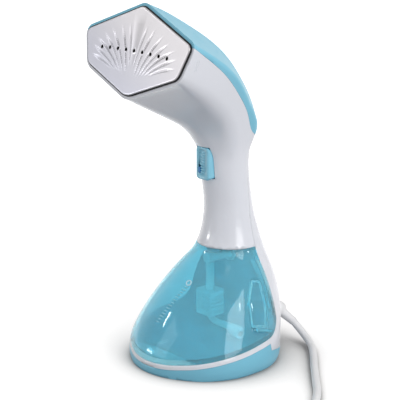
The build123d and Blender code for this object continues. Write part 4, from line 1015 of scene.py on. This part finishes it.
class STEAMER_OT_set_stage(bpy.types.Operator):
    """Set the floor, the lamps, the surround and the camera"""
    bl_idname = "steamer.set_stage"
    bl_label = "Set the Stage"

    def execute(self, context):
        settings = context.scene.steamer_stage
        self.lay_floor(settings)
        self.light(context.scene, settings)
        self.aim_camera(context.scene, settings)
        context.scene.view_settings.view_transform = "Standard"
        return {"FINISHED"}

    def lay_floor(self, settings):
        """A pale floor that turns white away from the object, with a soft shadow close to it: partly real, partly
        painted into its white glow by ambient occlusion.
        """
        reach, drop = 6, 0.0002
        corners = [(-reach, -reach, 0), (reach, -reach, 0), (reach, reach, 0), (-reach, reach, 0)]
        floor = mesh_object("floor", corners, [(0, 1, 2, 3)], False)
        floor.location.z = -drop
        material = bpy.data.materials.new("studio floor")
        material.use_nodes = True
        tree = material.node_tree
        shader = tree.nodes["Principled BSDF"]
        shader.inputs["Roughness"].default_value = 0.85
        shader.inputs["Specular IOR Level"].default_value = 0.1
        place = add_node(tree, "ShaderNodeTexCoord", (-1100, 700))
        away = add_node(tree, "ShaderNodeVectorMath", (-900, 700), operation="LENGTH")
        tree.links.new(place.outputs["Object"], away.inputs[0])
        share = range_node(tree, away.outputs["Value"], settings.shadow_near, settings.shadow_far,
                           settings.white_share, 1.0, (-700, 700))
        looked_at = seen_white(tree, shader.outputs["BSDF"], tree.nodes["Material Output"], "ShaderNodeEmission",
                               share, settings.white_strength)
        # Painted shadow: ambient occlusion dims the floor's white glow close to the object.
        close = add_node(tree, "ShaderNodeAmbientOcclusion", (-900, 1000), Distance=settings.contact)
        painted_shadow_strength = range_node(tree, close.outputs["AO"], *shut_in, darkest, settings.white_strength, (-700, 1000),
                         "LINEAR")
        glow = next(node for node in tree.nodes if node.type == "EMISSION")
        tree.links.new(painted_shadow_strength, glow.inputs["Strength"])
        shade = colour_mix(tree, looked_at, (*settings.floor, 1), (*settings.floor_seen, 1), (-200, 0))
        tree.links.new(shade, shader.inputs["Base Color"])
        floor.data.materials.append(material)

    def light(self, scene, settings):
        """The even surround and every lamp."""
        world = bpy.data.worlds.new("studio surround")
        scene.world = world
        world.use_nodes = True
        tree = world.node_tree
        surround = tree.nodes["Background"]
        surround.inputs["Color"].default_value = (1.0, 1.0, 1.0, 1)
        surround.inputs["Strength"].default_value = settings.sky
        seen_white(tree, surround.outputs["Background"], tree.nodes["World Output"], "ShaderNodeBackground",
                   1.0, 1.0)
        for number, (place, size, watts) in enumerate(window_lamps):
            area_lamp(f"window lamp {number + 1}", place, window_aim, size, watts)
        for name, (place, aim, size) in studio_lamps.items():
            area_lamp(f"{name} lamp", place, aim, size, getattr(settings, name))

    def aim_camera(self, scene, settings):
        """The camera on its circle round the object."""
        camera = bpy.data.cameras.new("camera")
        camera.sensor_width = 36.0
        camera.lens = settings.lens
        camera.clip_start, camera.clip_end = 0.01, 50.0
        view = add_piece("camera", camera)
        level = math.cos(settings.rise)
        back = Vector((math.sin(settings.turn) * level, -math.cos(settings.turn) * level, math.sin(settings.rise)))
        view.location = Vector(camera_aim) * mm + back * settings.away
        view.rotation_euler = (-back).to_track_quat("-Z", "Y").to_euler()
        scene.camera = view


OPERATORS = (STEAMER_OT_paint_nodes, STEAMER_OT_smooth_shells, STEAMER_OT_press_plate, STEAMER_OT_mark_tank,
             STEAMER_OT_lay_cord, STEAMER_OT_set_stage)


class STEAMER_PT_build(bpy.types.Panel):
    """Sizes, colours and build steps of the steamer"""
    bl_idname = "STEAMER_PT_build"
    bl_label = "Garment Steamer"
    bl_space_type = "VIEW_3D"
    bl_region_type = "UI"
    bl_category = "Steamer"

    def draw(self, context):
        for settings in (context.scene.steamer_colours, context.scene.steamer_plate, context.scene.steamer_marks,
                         context.scene.steamer_cord, context.scene.steamer_stage):
            box = self.layout.box()
            for name in settings.__annotations__:
                box.prop(settings, name)
        for operator in OPERATORS:
            self.layout.operator(operator.bl_idname)


GROUPS = {"steamer_colours": SteamerColours, "steamer_plate": PlateSizes, "steamer_marks": MarkSizes,
          "steamer_cord": CordSizes, "steamer_stage": StageSettings}


def register():
    """Registers the settings, the operators and the panel."""
    for name, group in GROUPS.items():
        bpy.utils.register_class(group)
        setattr(bpy.types.Scene, name, PointerProperty(type=group))
    for operator in OPERATORS:
        bpy.utils.register_class(operator)
    bpy.utils.register_class(STEAMER_PT_build)


def unregister():
    """Takes them away again."""
    bpy.utils.unregister_class(STEAMER_PT_build)
    for operator in reversed(OPERATORS):
        bpy.utils.unregister_class(operator)
    for name, group in GROUPS.items():
        delattr(bpy.types.Scene, name)
        bpy.utils.unregister_class(group)


def main():
    """Builds the steamer's looks."""
    register()
    bpy.ops.steamer.paint_nodes()
    bpy.ops.steamer.smooth_shells()
    bpy.ops.steamer.press_plate()
    bpy.ops.steamer.mark_tank()
    bpy.ops.steamer.lay_cord()
    bpy.ops.steamer.set_stage()
    bpy.context.view_layer.update()


if __name__ == "__main__":
    main()
